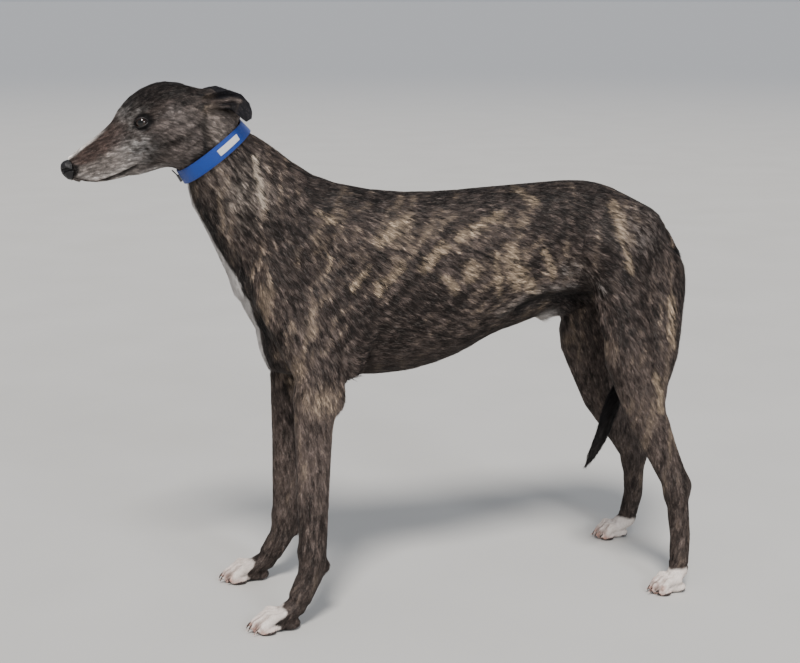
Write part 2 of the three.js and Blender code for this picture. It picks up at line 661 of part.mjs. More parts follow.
for (const [name, side] of Object.entries(sides)) {
  const front = frontLegs[name], hind = hindLegs[name];
  const wristTop = [mirrored(add(front.knee, [0, 0, 26]), side), [0, 0, 1]];
  const ankle = [mirrored(add(front.fetlock, [0, 0, 12]), side), unit([-0.5, 0, 1])];
  const frontBox = [[190, Math.min(45 * side, 165 * side), 20], [380, Math.max(45 * side, 165 * side), 410]];
  const frontSolid = formSolid(nearBox(body, ...frontBox), ...frontBox, 5, 480);
  pieces[`forearm_${name}`] = past(past(frontSolid, elbowPlane(front, side)[0], [0, 0, -1]), ...wristTop);
  const inner = (forward, out, up) => mirrored(add(add(front.pastern, dewclaw), [forward, out, up]), side);
  const dewclawNail = taper(curveThrough([inner(1, -2, -7), inner(5, -5, -14), inner(6, -5.5, -20)]),
    (t) => mix(3, 0.9, t), 3, 6);
  pieces[`pastern_${name}`] = past(past(frontSolid, wristTop[0], [0, 0, -1]), ...ankle).add(dewclawNail);

  const hockTop = [mirrored(add(hind.hock, [6, 0, 36]), side), mirrored([0.35, 0, 1], side)];
  const hindAnkle = [mirrored(add(hind.fetlock, [0, 0, 12]), side), unit([-0.3, 0, 1])];
  const hindBox = [[-450, Math.min(60 * side, 175 * side), 20], [-220, Math.max(60 * side, 175 * side), 440]];
  const hindSolid = formSolid(nearBox(body, ...hindBox), ...hindBox, 5, 560);
  const kneeCut = kneePlane(hind, side);
  pieces[`shank_${name}`] = past(past(hindSolid, kneeCut[0], turned(kneeCut[1])), ...hockTop);
  pieces[`hock_${name}`] = past(past(hindSolid, hockTop[0], turned(hockTop[1])), ...hindAnkle);

  for (const [paw, leg, cut, spread] of [[`forepaw_${name}`, front, ankle, [68, 50, 36]],
    [`hindpaw_${name}`, hind, hindAnkle, [53, 43, 33]]]) {
    const { form, claws } = pawForm(leg, ...spread);
    const low = [leg.paw[0] - 45, side * leg.paw[1] - 45, -6];
    const high = [leg.paw[0] + 85, side * leg.paw[1] + 45, 75];
    let solid = formSolid(form, low, high, 2.6, 400);
    solid = past(past(solid, cut[0], turned(cut[1])), [0, 0, 0], [0, 0, 1], 0);
    for (const claw of claws)
      solid = solid.add(taper(curveThrough(claw), (t) => mix(3.2, 0.9, t ** 0.8), 3, 6));
    pieces[paw] = past(solid, [0, 0, 0], [0, 0, 1], 0);
  }
}

// Head, parted into skull, lower jaw and nose

const headSolid = formSolid(body, [325, -78, 695], [668, 78, 905], 2.6, 2500);
const jawSolid = formSolid(jawSkin, [505, -45, 715], [655, 45, 790], 2.6, 560);
const noseRoom = (clear) => fromGeometry(new THREE.SphereGeometry(1, 20, 12)
  .scale(...noseHalf.map((half) => half + clear)).rotateY(slope).translate(...noseMiddle));
const jawShape = (clear) => {
  const shape = new THREE.Shape();
  shape.moveTo(18 - clear, -27 + clear);
  for (const [back, up] of mouthLine.slice(2)) shape.lineTo(back, up + clear);
  shape.lineTo(mouthCorner[0] + 8 + clear, -52);
  shape.lineTo(mouthCorner[0] + 18 + clear, -95);
  shape.lineTo(18 - clear, -95);
  return shape;
};
const alongHead = new THREE.Matrix4().makeBasis(vector(backwards), vector(upwards), vector([0, 1, 0]))
  .setPosition(...noseTip);
const jawBlock = (clear) => fromGeometry(
  new THREE.ExtrudeGeometry(jawShape(clear), { depth: 160, bevelEnabled: false })
    .translate(0, 0, -80).applyMatrix4(alongHead));
const eyeMiddle = (side) => inHead(eyePlace.back, eyePlace.up, eyePlace.out * side);
const gaze = (side) => unit([0.45, 0.89 * side, 0.05]);

const lidShape = new THREE.Shape();
lidShape.moveTo(-12, -1.5);
lidShape.quadraticCurveTo(-2, -11, 12, 0.5);
lidShape.quadraticCurveTo(1, 12.5, -12, -1.5);
const lidOpening = (side) => {
  const z = vector(gaze(side)), y = vector(upwards);
  const x = new THREE.Vector3().crossVectors(y, z).normalize().multiplyScalar(side);
  y.crossVectors(z, x).multiplyScalar(side);
  const block = new THREE.ExtrudeGeometry(lidShape, { depth: 30, bevelEnabled: false, curveSegments: 8 });
  const turn = new THREE.Matrix4().makeBasis(x, y, z).setPosition(...eyeMiddle(side));
  return fromGeometry(block.applyMatrix4(turn));
};

let head = past(headSolid, ...headPlane);
pieces.nose = formSolid(noseSkin, ...boxAround(noseMiddle, [23, 22, 22]), 1.2, 560);
const noseHollow = noseRoom(gap + 0.25);   // its facets lie a little inside the true oval
head = head.subtract(noseHollow);
pieces.lower_jaw = jawSolid.subtract(noseHollow).intersect(jawBlock(0));
head = head.subtract(jawBlock(gap));
for (const [name, side] of Object.entries(sides)) {
  const ball = (clear) => fromGeometry(new THREE.SphereGeometry(eyeRadius + clear, 16, 10)
    .translate(...eyeMiddle(side)));
  head = head.subtract(ball(gap)).subtract(lidOpening(side));
  pieces[`eye_${name}`] = ball(0);
}
pieces.head = head;

// Ears: thin leaves folded lengthwise, laid back from their base and bent down towards the tip

const earThickness = 3;
// Each row: back from the base, out from it, up from it, half width, then curl and lean in degrees.
const earRows = [
  [-4, -8, -3, 13, 100, 8],
  [8, 2, 2, 17, 96, 10],
  [24, 10, 6, 20, 84, 8],
  [40, 15, 7, 20.5, 66, -4],
  [54, 18, 3, 18, 42, -28],
  [64, 20, -6, 15.5, 26, -52],
  [71, 21, -17, 11.5, 18, -62],
  [75, 21, -26, 5.5, 10, -64],
];

function ear(root, side) {
  const facing = [0.1, side, -0.18];
  const rings = earRows.map(([back, out, up, half, curl, lean]) => {
    const middle = add(root, [-back, out * side, up]);
    const angle = lean * degrees;
    const across = unit([Math.sin(angle), -0.3 * side * Math.cos(angle), Math.cos(angle)]);
    const open = unit(sub(facing, scale(across, dot(facing, across))));   // towards the hollow of the cup
    const bend = curl * degrees, round = half / Math.max(bend, 0.05), turns = 7;
    const arc = (thick) => Array.from({ length: turns }, (_, i) => {
      const share = (i / (turns - 1)) * 2 - 1, a = share * bend;
      const thin = thick * (1 - 0.6 * share ** 4);
      return add(middle, add(scale(across, (round + thin) * Math.sin(a)),
        scale(open, round - (round + thin) * Math.cos(a))));
    });
    return [...arc(earThickness / 2), ...arc(-earThickness / 2).reverse()];
  });
  return skinned(rings);
}

for (const [name, side] of Object.entries(sides)) {
  const root = earBase[name];
  const [low, high] = boxAround(root, [40, 36, 40]);
  const headThere = nearBox(body, low, high);
  const grown = (p) => headThere(p) - gap - 0.4;   // by more than the head's facets stand out
  pieces[`ear_${name}`] = ear(root, side).subtract(formSolid(grown, low, high, 2.6, 1100));
}

// Collar: a flat band round the neck with a plain label sewn to its left side and a ring below

const collarSlack = 2;
const neckThere = nearBox(body, ...boxAround(collarMiddle, [100, 80, 100]));
const collarRay = (turn) => add(scale(napewards, Math.cos(turn)), [0, Math.sin(turn), 0]);

// A point above the collar's inner face, at a turn from the nape and a shift along the neck.
function onCollar(turn, shift, above) {
  const ray = collarRay(turn);
  const skin = (along) => {
    const from = add(collarMiddle, scale(neckRun, along));
    let r = 90;
    for (let step = 0; step < 40; step++) r -= neckThere(add(from, scale(ray, r))) * 0.8;
    return r;
  };
  const [front, rear] = [skin(-collarWidth / 2), skin(collarWidth / 2)];
  const lift = Math.max(0, skin(0) - (front + rear) / 2);
  return add(add(collarMiddle, scale(neckRun, shift)),
    scale(ray, mix(front, rear, shift / collarWidth + 0.5) + lift + collarSlack + above));
}

function band(start, end, low, high, width, steps) {
  const closed = end - start > 359;
  const rings = Array.from({ length: closed ? steps : steps + 1 }, (_, i) => {
    const turn = mix(start, end, i / steps) * degrees;
    const corners = [[-width / 2, low], [width / 2, low], [width / 2, high], [-width / 2, high]];
    return corners.map(([shift, above]) => onCollar(turn, shift, above));
  });
  if (!closed) return skinned(rings);
  const points = rings.flat(), faces = [];
  rings.forEach((ring, r) => {
    for (let i = 0; i < 4; i++) {
      const a = r * 4 + i, b = r * 4 + (i + 1) % 4, next = ((r + 1) % rings.length) * 4;
      const c = next + i, d = next + (i + 1) % 4;
      faces.push([a, b, d], [a, d, c]);
    }
  });
  return solidFrom({ points, faces });
}
pieces.collar = band(0, 360, 0, collarThickness, collarWidth, 48);

const labelThickness = 0.8, labelTurn = 70;   // the label's middle, degrees round from the nape
const labelHalf = labelLength / (neckHalfDepth + neckHalfWidth) / degrees;
const labelFoot = collarThickness + gap;
pieces.collar_label = band(labelTurn - labelHalf, labelTurn + labelHalf, labelFoot,
  labelFoot + labelThickness, labelWidth, 8);

// The ring is held by a small keeper under the throat.
const keeper = { length: 12, width: 9, height: 3.6 };
const [keeperFront, keeperRear] = [-1, 1].map((end) => onCollar(Math.PI, end * keeper.length / 2, labelFoot));
const keeperRun = unit(sub(keeperRear, keeperFront));
const keeperTurn = new THREE.Matrix4()
  .makeBasis(vector(keeperRun), vector([0, 1, 0]), vector(cross(keeperRun, [0, 1, 0])))
  .setPosition(...between(keeperFront, keeperRear, 0.5));
const keeperBox = new THREE.BoxGeometry(keeper.length, keeper.width, keeper.height)
  .translate(0, 0, keeper.height / 2 + 0.1);
const ringLean = 14 * degrees;   // it lies forward along the throat, a little off the skin
const ring = new THREE.TorusGeometry(ringRadius, ringWire, 6, 18).translate(-ringRadius, 0, 0)
  .rotateY(ringLean).translate(-keeper.length / 2 + 2 * ringWire, 0, keeper.height / 2);
pieces.collar_ring = fromGeometry(keeperBox.applyMatrix4(keeperTurn))
  .add(fromGeometry(ring.applyMatrix4(keeperTurn)));

// Tail: hangs between the thighs and curves forward to a thin tip

const tailPoints = [[-398, 0, 578], [-411, 0, 545], [-414, 0, 498], [-401, 0, 446], [-373, 0, 402],
  [-339, 0, 368], [-310, 0, 336], [-293, 0, 300], [-281, 0, 262], [-266, 0, 230], [-250, 0, 201]];
const tailRadius = (t) =>
  mix(15.5, 13.2, Math.min(t / 0.75, 1)) * Math.sqrt(1 - clamp((t - 0.7) / 0.3, 0, 0.99) ** 1.7);
const tailBar = (clear) => {
  const start = add(tailPoints[0], [0, 0, 2 * clear]);
  return taper(curveThrough([start, ...tailPoints.slice(1)]), (t) => tailRadius(t) + clear, 22, 8);
};
const tailSolid = tailBar(0);
const tailBreak = [tailPoints[4], [0.72, 0, -0.69]];
pieces.tail_lower = past(tailSolid, ...tailBreak);
pieces.tail_upper = past(tailSolid, tailBreak[0], turned(tailBreak[1]));
pieces.rump = pieces.rump.subtract(tailBar(gap));

// The group

const colours = {
  head: 0x4a423c, lower_jaw: 0x8d857c, nose: 0x17171a, eye: 0x1c120c, ear: 0x26252a, neck: 0x4b4139,
  collar: 0x1546b4, collar_label: 0xf2f2ee, collar_ring: 0x2b2c30, tail: 0x151314, forepaw: 0xd9cfc6,
  hindpaw: 0xd9cfc6, other: 0x463d37,
};

const greyhound = new THREE.Group();
for (const [name, solid] of Object.entries(pieces)) {
  const { vertProperties, triVerts } = largest(solid).getMesh();
  const geometry = new THREE.BufferGeometry();
  geometry.setAttribute('position', new THREE.BufferAttribute(vertProperties, 3));
  geometry.setIndex(new THREE.BufferAttribute(triVerts, 1));
  const kind = name.replace(/_(left|right|upper|lower)$/, '');
  const material = new THREE.MeshStandardMaterial({ color: colours[name] ?? colours[kind] ?? colours.other,
    roughness: 0.7, metalness: 0 });
  const mesh = new THREE.Mesh(geometry, material);
  mesh.name = name;
  greyhound.add(mesh);
}

const middle = new THREE.Box3().setFromObject(greyhound, true).getCenter(new THREE.Vector3());
greyhound.position.set(-middle.x, -middle.y, 0);

export default greyhound;
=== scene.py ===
import math

import bpy
import numpy as np
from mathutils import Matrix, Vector
from mathutils.bvhtree import BVHTree


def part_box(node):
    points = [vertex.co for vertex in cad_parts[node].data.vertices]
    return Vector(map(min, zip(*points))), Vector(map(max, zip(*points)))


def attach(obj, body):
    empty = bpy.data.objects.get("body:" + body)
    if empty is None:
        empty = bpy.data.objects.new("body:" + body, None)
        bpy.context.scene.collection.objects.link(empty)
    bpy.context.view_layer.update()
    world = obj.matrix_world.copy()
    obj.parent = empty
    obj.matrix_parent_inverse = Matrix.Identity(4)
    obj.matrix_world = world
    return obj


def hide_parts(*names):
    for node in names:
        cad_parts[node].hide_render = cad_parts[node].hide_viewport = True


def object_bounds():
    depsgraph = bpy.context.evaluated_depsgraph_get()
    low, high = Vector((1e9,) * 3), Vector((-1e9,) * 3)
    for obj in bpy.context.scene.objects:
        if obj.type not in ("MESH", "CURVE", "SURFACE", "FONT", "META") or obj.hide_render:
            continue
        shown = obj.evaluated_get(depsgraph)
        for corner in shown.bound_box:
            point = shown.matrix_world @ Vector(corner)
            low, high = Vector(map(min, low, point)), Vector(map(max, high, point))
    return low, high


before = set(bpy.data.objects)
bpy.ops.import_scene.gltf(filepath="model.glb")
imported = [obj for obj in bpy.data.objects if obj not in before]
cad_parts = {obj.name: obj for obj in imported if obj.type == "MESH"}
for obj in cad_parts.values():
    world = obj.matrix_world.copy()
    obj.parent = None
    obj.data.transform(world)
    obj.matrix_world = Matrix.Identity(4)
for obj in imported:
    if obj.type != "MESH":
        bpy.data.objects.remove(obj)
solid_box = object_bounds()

# The hide of the trunk, neck, legs and tail. On the real dog it is thin skin that lies close over
# lean muscle. It is made from the solids of the frame: joined, closed over at their cuts and relaxed
# until no flat facet is left, and it lies inside them by the depth of the coat.

coat_depth = 0.0011


def new_object(title, data):
    """Puts an object with this data into the scene."""
    made = bpy.data.objects.new(title, data)
    bpy.context.scene.collection.objects.link(made)
    return made


def select_only(*pieces):
    """Selects these pieces and nothing else. The first is the active one."""
    bpy.ops.object.select_all(action="DESELECT")
    for piece in pieces:
        piece.select_set(True)
    bpy.context.view_layer.objects.active = pieces[0]


def joined(pieces, title):
    """Joins the pieces into the first one."""
    select_only(*pieces)
    if len(pieces) > 1:
        bpy.ops.object.join()
    pieces[0].name = title
    return pieces[0]


def edited(piece, operator, **settings):
    """Runs a mesh operator on the whole of a piece."""
    select_only(piece)
    bpy.ops.object.mode_set(mode="EDIT")
    bpy.ops.mesh.select_all(action="SELECT")
    operator(**settings)
    bpy.ops.object.mode_set(mode="OBJECT")


def copied(names, title):
    """One new object that holds merged copies of the frame's nodes."""
    twins = [new_object(title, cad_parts[name].data.copy()) for name in names]
    made = joined(twins[::-1], title)
    made.data.materials.clear()
    edited(made, bpy.ops.mesh.remove_doubles, threshold=1e-5)
    return made


def apply_modifier(piece, kind, **settings):
    """Adds a modifier with these settings and applies it at once."""
    bpy.context.view_layer.objects.active = piece
    modifier = piece.modifiers.new("shape", kind)
    for key, value in settings.items():
        setattr(modifier, key, value)
    bpy.ops.object.modifier_apply(modifier="shape")


def grown(piece, by):
    apply_modifier(piece, "DISPLACE", strength=by, mid_level=0)


def remeshed(piece, voxel):
    apply_modifier(piece, "REMESH", mode="VOXEL", voxel_size=voxel)


def listed(items, key, width=3, kind=float):
    """One value of every corner, edge, triangle or loop, as a table."""
    table = np.empty(len(items) * width, kind)
    items.foreach_get(key, table)
    return table.reshape(-1, width)


def corners(piece):
    return listed(piece.data.vertices, "co")


def outward(piece):
    """The direction that the surface faces at each corner."""
    return listed(piece.data.vertices, "normal")


def set_corners(piece, places):
    piece.data.vertices.foreach_set("co", places.ravel())
    piece.data.update()


def relaxed(piece, rounds):
    """Smooths facets and keeps the volume: each round draws in and then swells a little more."""
    places = corners(piece)
    ends = listed(piece.data.edges, "vertices", 2, np.int64)
    neighbours = np.bincount(ends.ravel(), minlength=len(places))[:, None]
    for _ in range(rounds):
        for pull in (0.55, -0.58):
            total = np.empty_like(places)
            for axis in range(3):
                total[:, axis] = np.bincount(ends[:, 0], places[ends[:, 1], axis], len(places))
                total[:, axis] += np.bincount(ends[:, 1], places[ends[:, 0], axis], len(places))
            places += pull * (total / neighbours - places)
    set_corners(piece, places)


def remade(names, title, by, voxel, rounds):
    """A closed and smooth mesh made from nodes of the frame."""
    made = copied(names, title)
    grown(made, by)
    remeshed(made, voxel)
    relaxed(made, rounds)
    return made


def cut_away(piece, point, direction):
    """Removes what lies past the plane, on the side that the direction points to, and closes it."""
    edited(piece, bpy.ops.mesh.bisect, plane_co=point, plane_no=direction, clear_outer=True, use_fill=True)


def without_scraps(piece):
    """Keeps only the largest closed surface."""
    title = piece.name
    edited(piece, bpy.ops.mesh.separate, type="LOOSE")
    parts = sorted(bpy.context.selected_objects, key=lambda part: len(part.data.vertices))
    for scrap in parts[:-1]:
        bpy.data.objects.remove(scrap)
    parts[-1].name = title
    return parts[-1]


head_nodes = ["head", "lower_jaw"]
flesh = [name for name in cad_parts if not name.startswith(("eye", "ear", "nose", "collar"))]
fine_nodes = [name for name in flesh if "paw" in name or "tail" in name]
collar_middle = np.array(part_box("collar")).mean(axis=0)
neck_run = np.array([-0.6085, 0.0, -0.7936])  # down the neck, square to the collar
under_collar = 0.004  # how far the hides run on under the collar

body = remade([name for name in flesh if name not in fine_nodes], "hide_body",
              by=0.0004, voxel=0.0034, rounds=34)
thin_parts = remade(fine_nodes, "thin_parts", by=0.0003, voxel=0.0016, rounds=9)
body = joined([body, thin_parts], "hide_body")
remeshed(body, voxel=0.002)
relaxed(body, rounds=6)
cut_away(body, collar_middle - neck_run * under_collar, -neck_run)
body = without_scraps(body)
grown(body, by=-coat_depth)


def ramp(value, low, high):
    """0 at low and 1 at high, with soft ends."""
    t = np.clip((value - low) / (high - low), 0, 1)
    return t * t * (3 - 2 * t)


def fall(value, low, high):
    """1 at low and 0 at high."""
    return 1 - ramp(value, low, high)


def blob(*axes):
    """1 in the middle of a soft spot and 0 far from it. Each axis has values, a middle and a half width."""
    return np.exp(-sum(((value - middle) / half) ** 2 for value, middle, half in axes))


def from_line(places, points):
    """How far each place is from a line through the points."""
    nearest = np.full(len(places), 9.0)
    for start, end in zip(points[:-1], points[1:]):
        start, run = np.array(start), np.array(end) - np.array(start)
        share = np.clip((places - start) @ run / (run @ run), 0, 1)
        nearest = np.minimum(nearest, np.linalg.norm(places - start - share[:, None] * run, axis=1))
    return nearest


def to_left(places):
    """The places of the right side, mirrored to the left one."""
    return np.column_stack([places[:, 0], np.abs(places[:, 1]), places[:, 2]])


def near_line(places, points, width):
    """1 on a line down the left side, and on its mirror image, and 0 far from both."""
    return np.exp(-(from_line(to_left(places), points) / width) ** 2)


row_shift = solid_box[1][0] - 0.65473  # from the middle of the dog's stance to the box's middle
side_shift = 0.0005  # from the box's middle to the dog's own
toe_rows = {-1.5: 0.84, -0.5: 1.0, 0.5: 1.0, 1.5: 0.84}  # each toe's place across, and its reach
feet = [  # forward, to the left, length, breadth, height
    (0.322, 0.112, 0.068, 0.05, 0.036), (0.33, -0.119, 0.068, 0.05, 0.036),
    (-0.371, 0.142, 0.053, 0.043, 0.033), (-0.388, -0.143, 0.053, 0.043, 0.033),
]


def on_foot(foot, forward, aside, high):
    """A place on a foot, as shares of its length, its breadth and its height."""
    x, y, long, broad, tall = foot
    return np.array([x + row_shift + forward * long, y + side_shift + aside * broad, high * tall])


flank_edge = [(-0.165, 0.058, 0.504), (-0.206, 0.061, 0.526), (-0.25, 0.06, 0.544), (-0.303, 0.05, 0.543),
              (-0.332, 0.062, 0.53), (-0.345, 0.082, 0.508), (-0.35, 0.097, 0.465)]
flank_hollow = [(-0.205, 0.05, 0.504), (-0.247, 0.047, 0.518), (-0.285, 0.036, 0.519),
                (-0.318, 0.022, 0.514), (-0.341, 0.02, 0.503)]
rib_gap = 0.0285

# Muscles, bones and tendons that show through the skin: each line is a ridge or a groove, with its
# width in metres and its height in millimetres.
places, facing = corners(body), outward(body)
x, y, z = places.T
lift = np.zeros(len(places))
for points, width, height in [
    ([(0.19, 0.05, 0.665), (0.15, 0.062, 0.6), (0.175, 0.075, 0.56)], 0.012, 1.4),  # shoulder blade
    ([(0.12, 0.06, 0.64), (0.095, 0.09, 0.52), (0.11, 0.1, 0.43)], 0.014, -2.2),  # behind it
    ([(0.205, 0.075, 0.55), (0.15, 0.09, 0.47), (0.14, 0.1, 0.4)], 0.012, -1.8),
    ([(0.235, 0.045, 0.62), (0.235, 0.06, 0.54)], 0.014, -2.0),  # neck meets breast
    ([(0.178, 0.11, 0.35), (0.172, 0.115, 0.24), (0.172, 0.112, 0.17)], 0.006, -1.5),  # forearm
    ([(0.15, 0.105, 0.34), (0.152, 0.113, 0.23), (0.158, 0.11, 0.16)], 0.005, 1.1),
    ([(-0.395, 0.075, 0.67), (-0.375, 0.095, 0.6), (-0.365, 0.11, 0.52)], 0.014, -1.8),
    ([(-0.44, 0.085, 0.6), (-0.43, 0.105, 0.5), (-0.43, 0.115, 0.42)], 0.012, -2.2),  # ham
    ([(-0.465, 0.08, 0.56), (-0.465, 0.1, 0.47), (-0.455, 0.105, 0.4)], 0.012, 1.4),
    ([(-0.455, 0.118, 0.29), (-0.475, 0.122, 0.22)], 0.007, -3.0),  # hollow of the hock
    ([(-0.41, 0.118, 0.33), (-0.44, 0.122, 0.24), (-0.47, 0.13, 0.18)], 0.006, 1.0),
    ([(-0.03, 0.03, 0.71), (-0.15, 0.034, 0.712), (-0.29, 0.036, 0.7)], 0.016, 1.6),  # loin muscle
    ([(0.02, 0.0, 0.708), (-0.15, 0.0, 0.716), (-0.33, 0.0, 0.7)], 0.008, -1.2),  # spine
    ([(-0.3, 0.07, 0.59), (-0.33, 0.08, 0.56), (-0.352, 0.09, 0.5)], 0.01, -2.0),
    (flank_edge, 0.008, 4.5),
    (flank_hollow, 0.011, -8.0),
]:
    lift += height / 1000 * near_line(places, points, width)
ribs = np.sin((x - 0.35 * z) / rib_gap * 2 * math.pi)
on_ribs = ramp(x, -0.13, -0.05) * fall(x, 0.05, 0.11)
on_ribs *= ramp(z, 0.44, 0.5) * fall(z, 0.6, 0.66)
lift += 0.00045 * ribs * on_ribs * np.abs(facing[:, 1])
for middle, half, height in [
    ((-0.375, 0.06, 0.69), (0.022, 0.02, 0.016), 3.0),  # hip bone
    ((-0.445, 0.07, 0.64), (0.024, 0.02, 0.022), 2.0),  # seat bone
    ((0.2, 0.066, 0.556), (0.024, 0.02, 0.022), 2.0),  # point of the shoulder
    ((0.131, 0.099, 0.356), (0.012, 0.016, 0.014), 3.5),  # elbow
    ((0.119, 0.101, 0.388), (0.012, 0.016, 0.012), -2.5),
    ((-0.487, 0.026, 0.632), (0.022, 0.026, 0.02), 4.5),  # root of the tail
]:
    lift += height / 1000 * blob(*zip((x, np.abs(y), z), middle, half))
for foot in feet:
    near = np.linalg.norm(places[:, :2] - on_foot(foot, 0.5, 0, 0)[:2], axis=1) < 0.08
    near &= z < 0.06
    spots = places[near]
    shape = np.zeros(len(spots))
    for row, reach in toe_rows.items():
        for forward, high, height in ((0.6, 0.8, 3.4), (0.88, 0.42, 2.4)):  # two knuckles to a toe
            away = spots - on_foot(foot, forward * reach, 0.25 * row, high)
            shape += height / 1000 * np.exp(-(away ** 2).sum(axis=1) / 0.0065 ** 2)
    for row in (-1, 0, 1):  # the grooves between the toes
        line = [on_foot(foot, forward, aside * row, high) for forward, aside, high in (
            (0.3, 0.22, 1.0), (0.62, 0.25, 0.85), (0.86, 0.27, 0.4), (0.9, 0.27, 0.05))]
        fade = ramp(spots[:, 0], line[0][0] - 0.004, line[0][0] + 0.012)
        shape -= 0.0068 * fade * np.exp(-(from_line(spots, line) / 0.0026) ** 2)
    lift[near] += shape
set_corners(body, places + facing * lift[:, None])


def thinned(piece, triangles, fine):
    """Joins corners until few triangles are left, and goes easy where fine is near 1."""
    group = piece.vertex_groups.new(name="fine")
    levels = 8
    for level in range(1, levels + 1):
        chosen = np.nonzero((fine * levels).astype(int) == level)[0]
        group.add(chosen.tolist(), level / levels, "REPLACE")
    count = sum(len(face.vertices) - 2 for face in piece.data.polygons)
    apply_modifier(piece, "DECIMATE", ratio=min(1, triangles / count), vertex_group="fine",
                   invert_vertex_group=True, vertex_group_factor=3.0)
    piece.vertex_groups.clear()


thinned(body, 170000, fall(corners(body)[:, 2], 0.06, 0.12))

# The skin of the head, with the ears drawn out of it: thin over the skull and the bridge of the
# nose, folded at the lips and the lids. It is a finer mesh than the body and ends under the collar.

nose_tip = np.array([solid_box[1][0] + 0.0003, side_shift, 0.765])
head_slope = math.radians(22)
backwards = np.array([-math.cos(head_slope), 0, math.sin(head_slope)])
upwards = np.array([math.sin(head_slope), 0, math.cos(head_slope)])
ball_radius = 0.0124  # of an eyeball, in metres
eye_place = (144.3, 16.8, 34)  # in millimetres, as in_head takes them


def in_head(back, up, out):
    """A place given in millimetres back from the tip of the nose, up from it and out to the left."""
    return nose_tip + (back * backwards + up * upwards + np.array([0, out, 0])) / 1000


def head_measures(places):
    """Millimetres back from the tip of the nose, up from it and out to either side."""
    away = (places - nose_tip) * 1000
    return away @ backwards, away @ upwards, away[:, 1]


head = copied(head_nodes + ["neck", "ear_left", "ear_right", "eye_left", "eye_right"], "hide_head")
grown(head, by=0.0004)
remeshed(head, voxel=0.00125)
cut_away(head, collar_middle + neck_run * (under_collar + 0.004), neck_run)
head = without_scraps(head)
relaxed(head, rounds=22)
grown(head, by=-0.0006)

mouth_back = [4, 8, 24, 38, 60, 84, 106]
mouth_up = [-18, -19, -31, -40.5, -43, -43, -41]


def above_mouth(back, up):
    """Millimetres above the line where the lips meet, which runs back from under the nose."""
    return up - np.interp(back, mouth_back, mouth_up)


def head_line(*spots):
    """A line through spots of the head, each back, up and out in millimetres."""
    return [in_head(*spot) for spot in spots]


places, facing = corners(head), outward(head)
back, up, out = head_measures(places)
lift = np.zeros(len(places))
for middle, half, height in [  # back, up and out, half widths, height
    ((17, 4, 0), (8, 12, 22), 1.0),  # the muzzle's end, round the nose
    ((17, -12, 15), (8, 9, 8), 1.0),
    ((190, 52, 36), (34, 12, 9), -3.2),  # the skull's round sides
    ((190, 62, 0), (36, 12, 15), 1.2),
    ((178, 48, 0), (30, 14, 5), -1.3),  # furrow down the forehead
    ((120, 30, 0), (16, 12, 9), -1.5),  # stop
    ((146, 36, 30), (14, 7, 9), 1.8),  # brow
    ((168, 26, 46), (12, 12, 12), -2.2),  # temple
    ((170, 0, 50), (24, 6, 12), 1.8),  # cheek bone
    ((182, -34, 50), (24, 20, 14), 2.4),  # cheek muscle
    ((220, -34, 52), (6, 32, 14), -4.0),  # behind the cheek
    ((240, 4, 54), (5, 18, 12), -2.5),  # before the ear
    ((112, -4, 28), (18, 8, 10), -1.6),  # hollow before the eye
    ((124, -16, 32), (12, 5, 12), 1.2),
    ((34, -22, 17), (16, 8, 8), 1.2),  # whisker pad
    ((70, 12, 14), (40, 5, 8), 0.8),  # edge of the bridge
    ((60, 20, 0), (36, 8, 4), -0.6),
    ((150, -58, 12), (30, 10, 10), 1.0),
]:
    lift += height * blob(*zip((back, up, np.abs(out)), middle, half))
along_lips = ramp(np.abs(out), 2, 7) * fall(back, 104, 114) * ramp(back, 2, 7)
lip = above_mouth(back, up)
lift += along_lips * (0.9 * blob((lip, 3.2, 2.4)) - 1.9 * blob((lip, 0, 1.15)) - 0.5 * blob((lip, -3, 2)))
lift -= 1.2 * blob((out, 0, 1.3)) * ramp(-up, 18, 22) * fall(back, 8, 18)  # cleft of the lip
ear_fold = head_line((242, 12, 51), (255, 6, 52), (266, 2, 56), (275, 0, 58), (282, -1, 59),
                     (289, -5, 60), (293, -8, 61))
ear_edge = head_line((293, -8, 61), (289, -10, 62), (286, -14, 63), (280, -19, 66))
ear_inner = head_line((252, -2, 58), (262, -6, 64), (274, -8, 66))
for line, width, height in [
    (ear_fold, 0.0026, 3.0), (ear_edge, 0.0022, 2.2), (ear_inner, 0.0022, 1.8),
    (head_line((257, 1, 54), (270, -3, 60), (282, -7, 61)), 0.0026, -2.2),
    (head_line((262, -11, 66), (276, -14, 68)), 0.003, -1.8),
    (head_line((262, 12, 53), (277, 8, 57), (289, 1, 59)), 0.0035, -1.2),
]:
    lift += height * near_line(places, line, width)
set_corners(head, places + facing * lift[:, None] / 1000)
for side in (1, -1):  # the ears are drawn in a little, for their hair
    places = corners(head)
    back, up, out = head_measures(places)
    share = 0.08 * ramp(back, 244, 264) * ramp(out * side, 46, 54)
    set_corners(head, places + (in_head(272, -4, 62 * side) - places) * share[:, None])

lid_half, upper_lid, lower_lid = 11.8, 7.4, 6.2  # half the slit's length and its two heights, in millimetres
lid_tilt = 0.1
lid_depth = 1.3  # of the lids on the ball, and of the crease in the upper one
crease_depth = 0.9
behind_slit = 1.6  # how far the skin lies below the front of the ball between the lids


def eye_axes(side):
    """The middle of an eyeball, then the ways it looks, to the muzzle and up."""
    middle = in_head(eye_place[0], eye_place[1], eye_place[2] * side)
    gaze = np.array([0.45, 0.89 * side, 0.05])
    gaze /= np.linalg.norm(gaze)
    fore = -backwards + (backwards @ gaze) * gaze
    fore /= np.linalg.norm(fore)
    rise = np.cross(gaze, fore) * -side
    return middle, gaze, fore, rise


def from_eye(places, side):
    """Millimetres from the middle of an eyeball: to the muzzle, up, and the way it looks."""
    middle, gaze, fore, rise = eye_axes(side)
    away = (places - middle) * 1000
    return away @ fore, away @ rise, away @ gaze


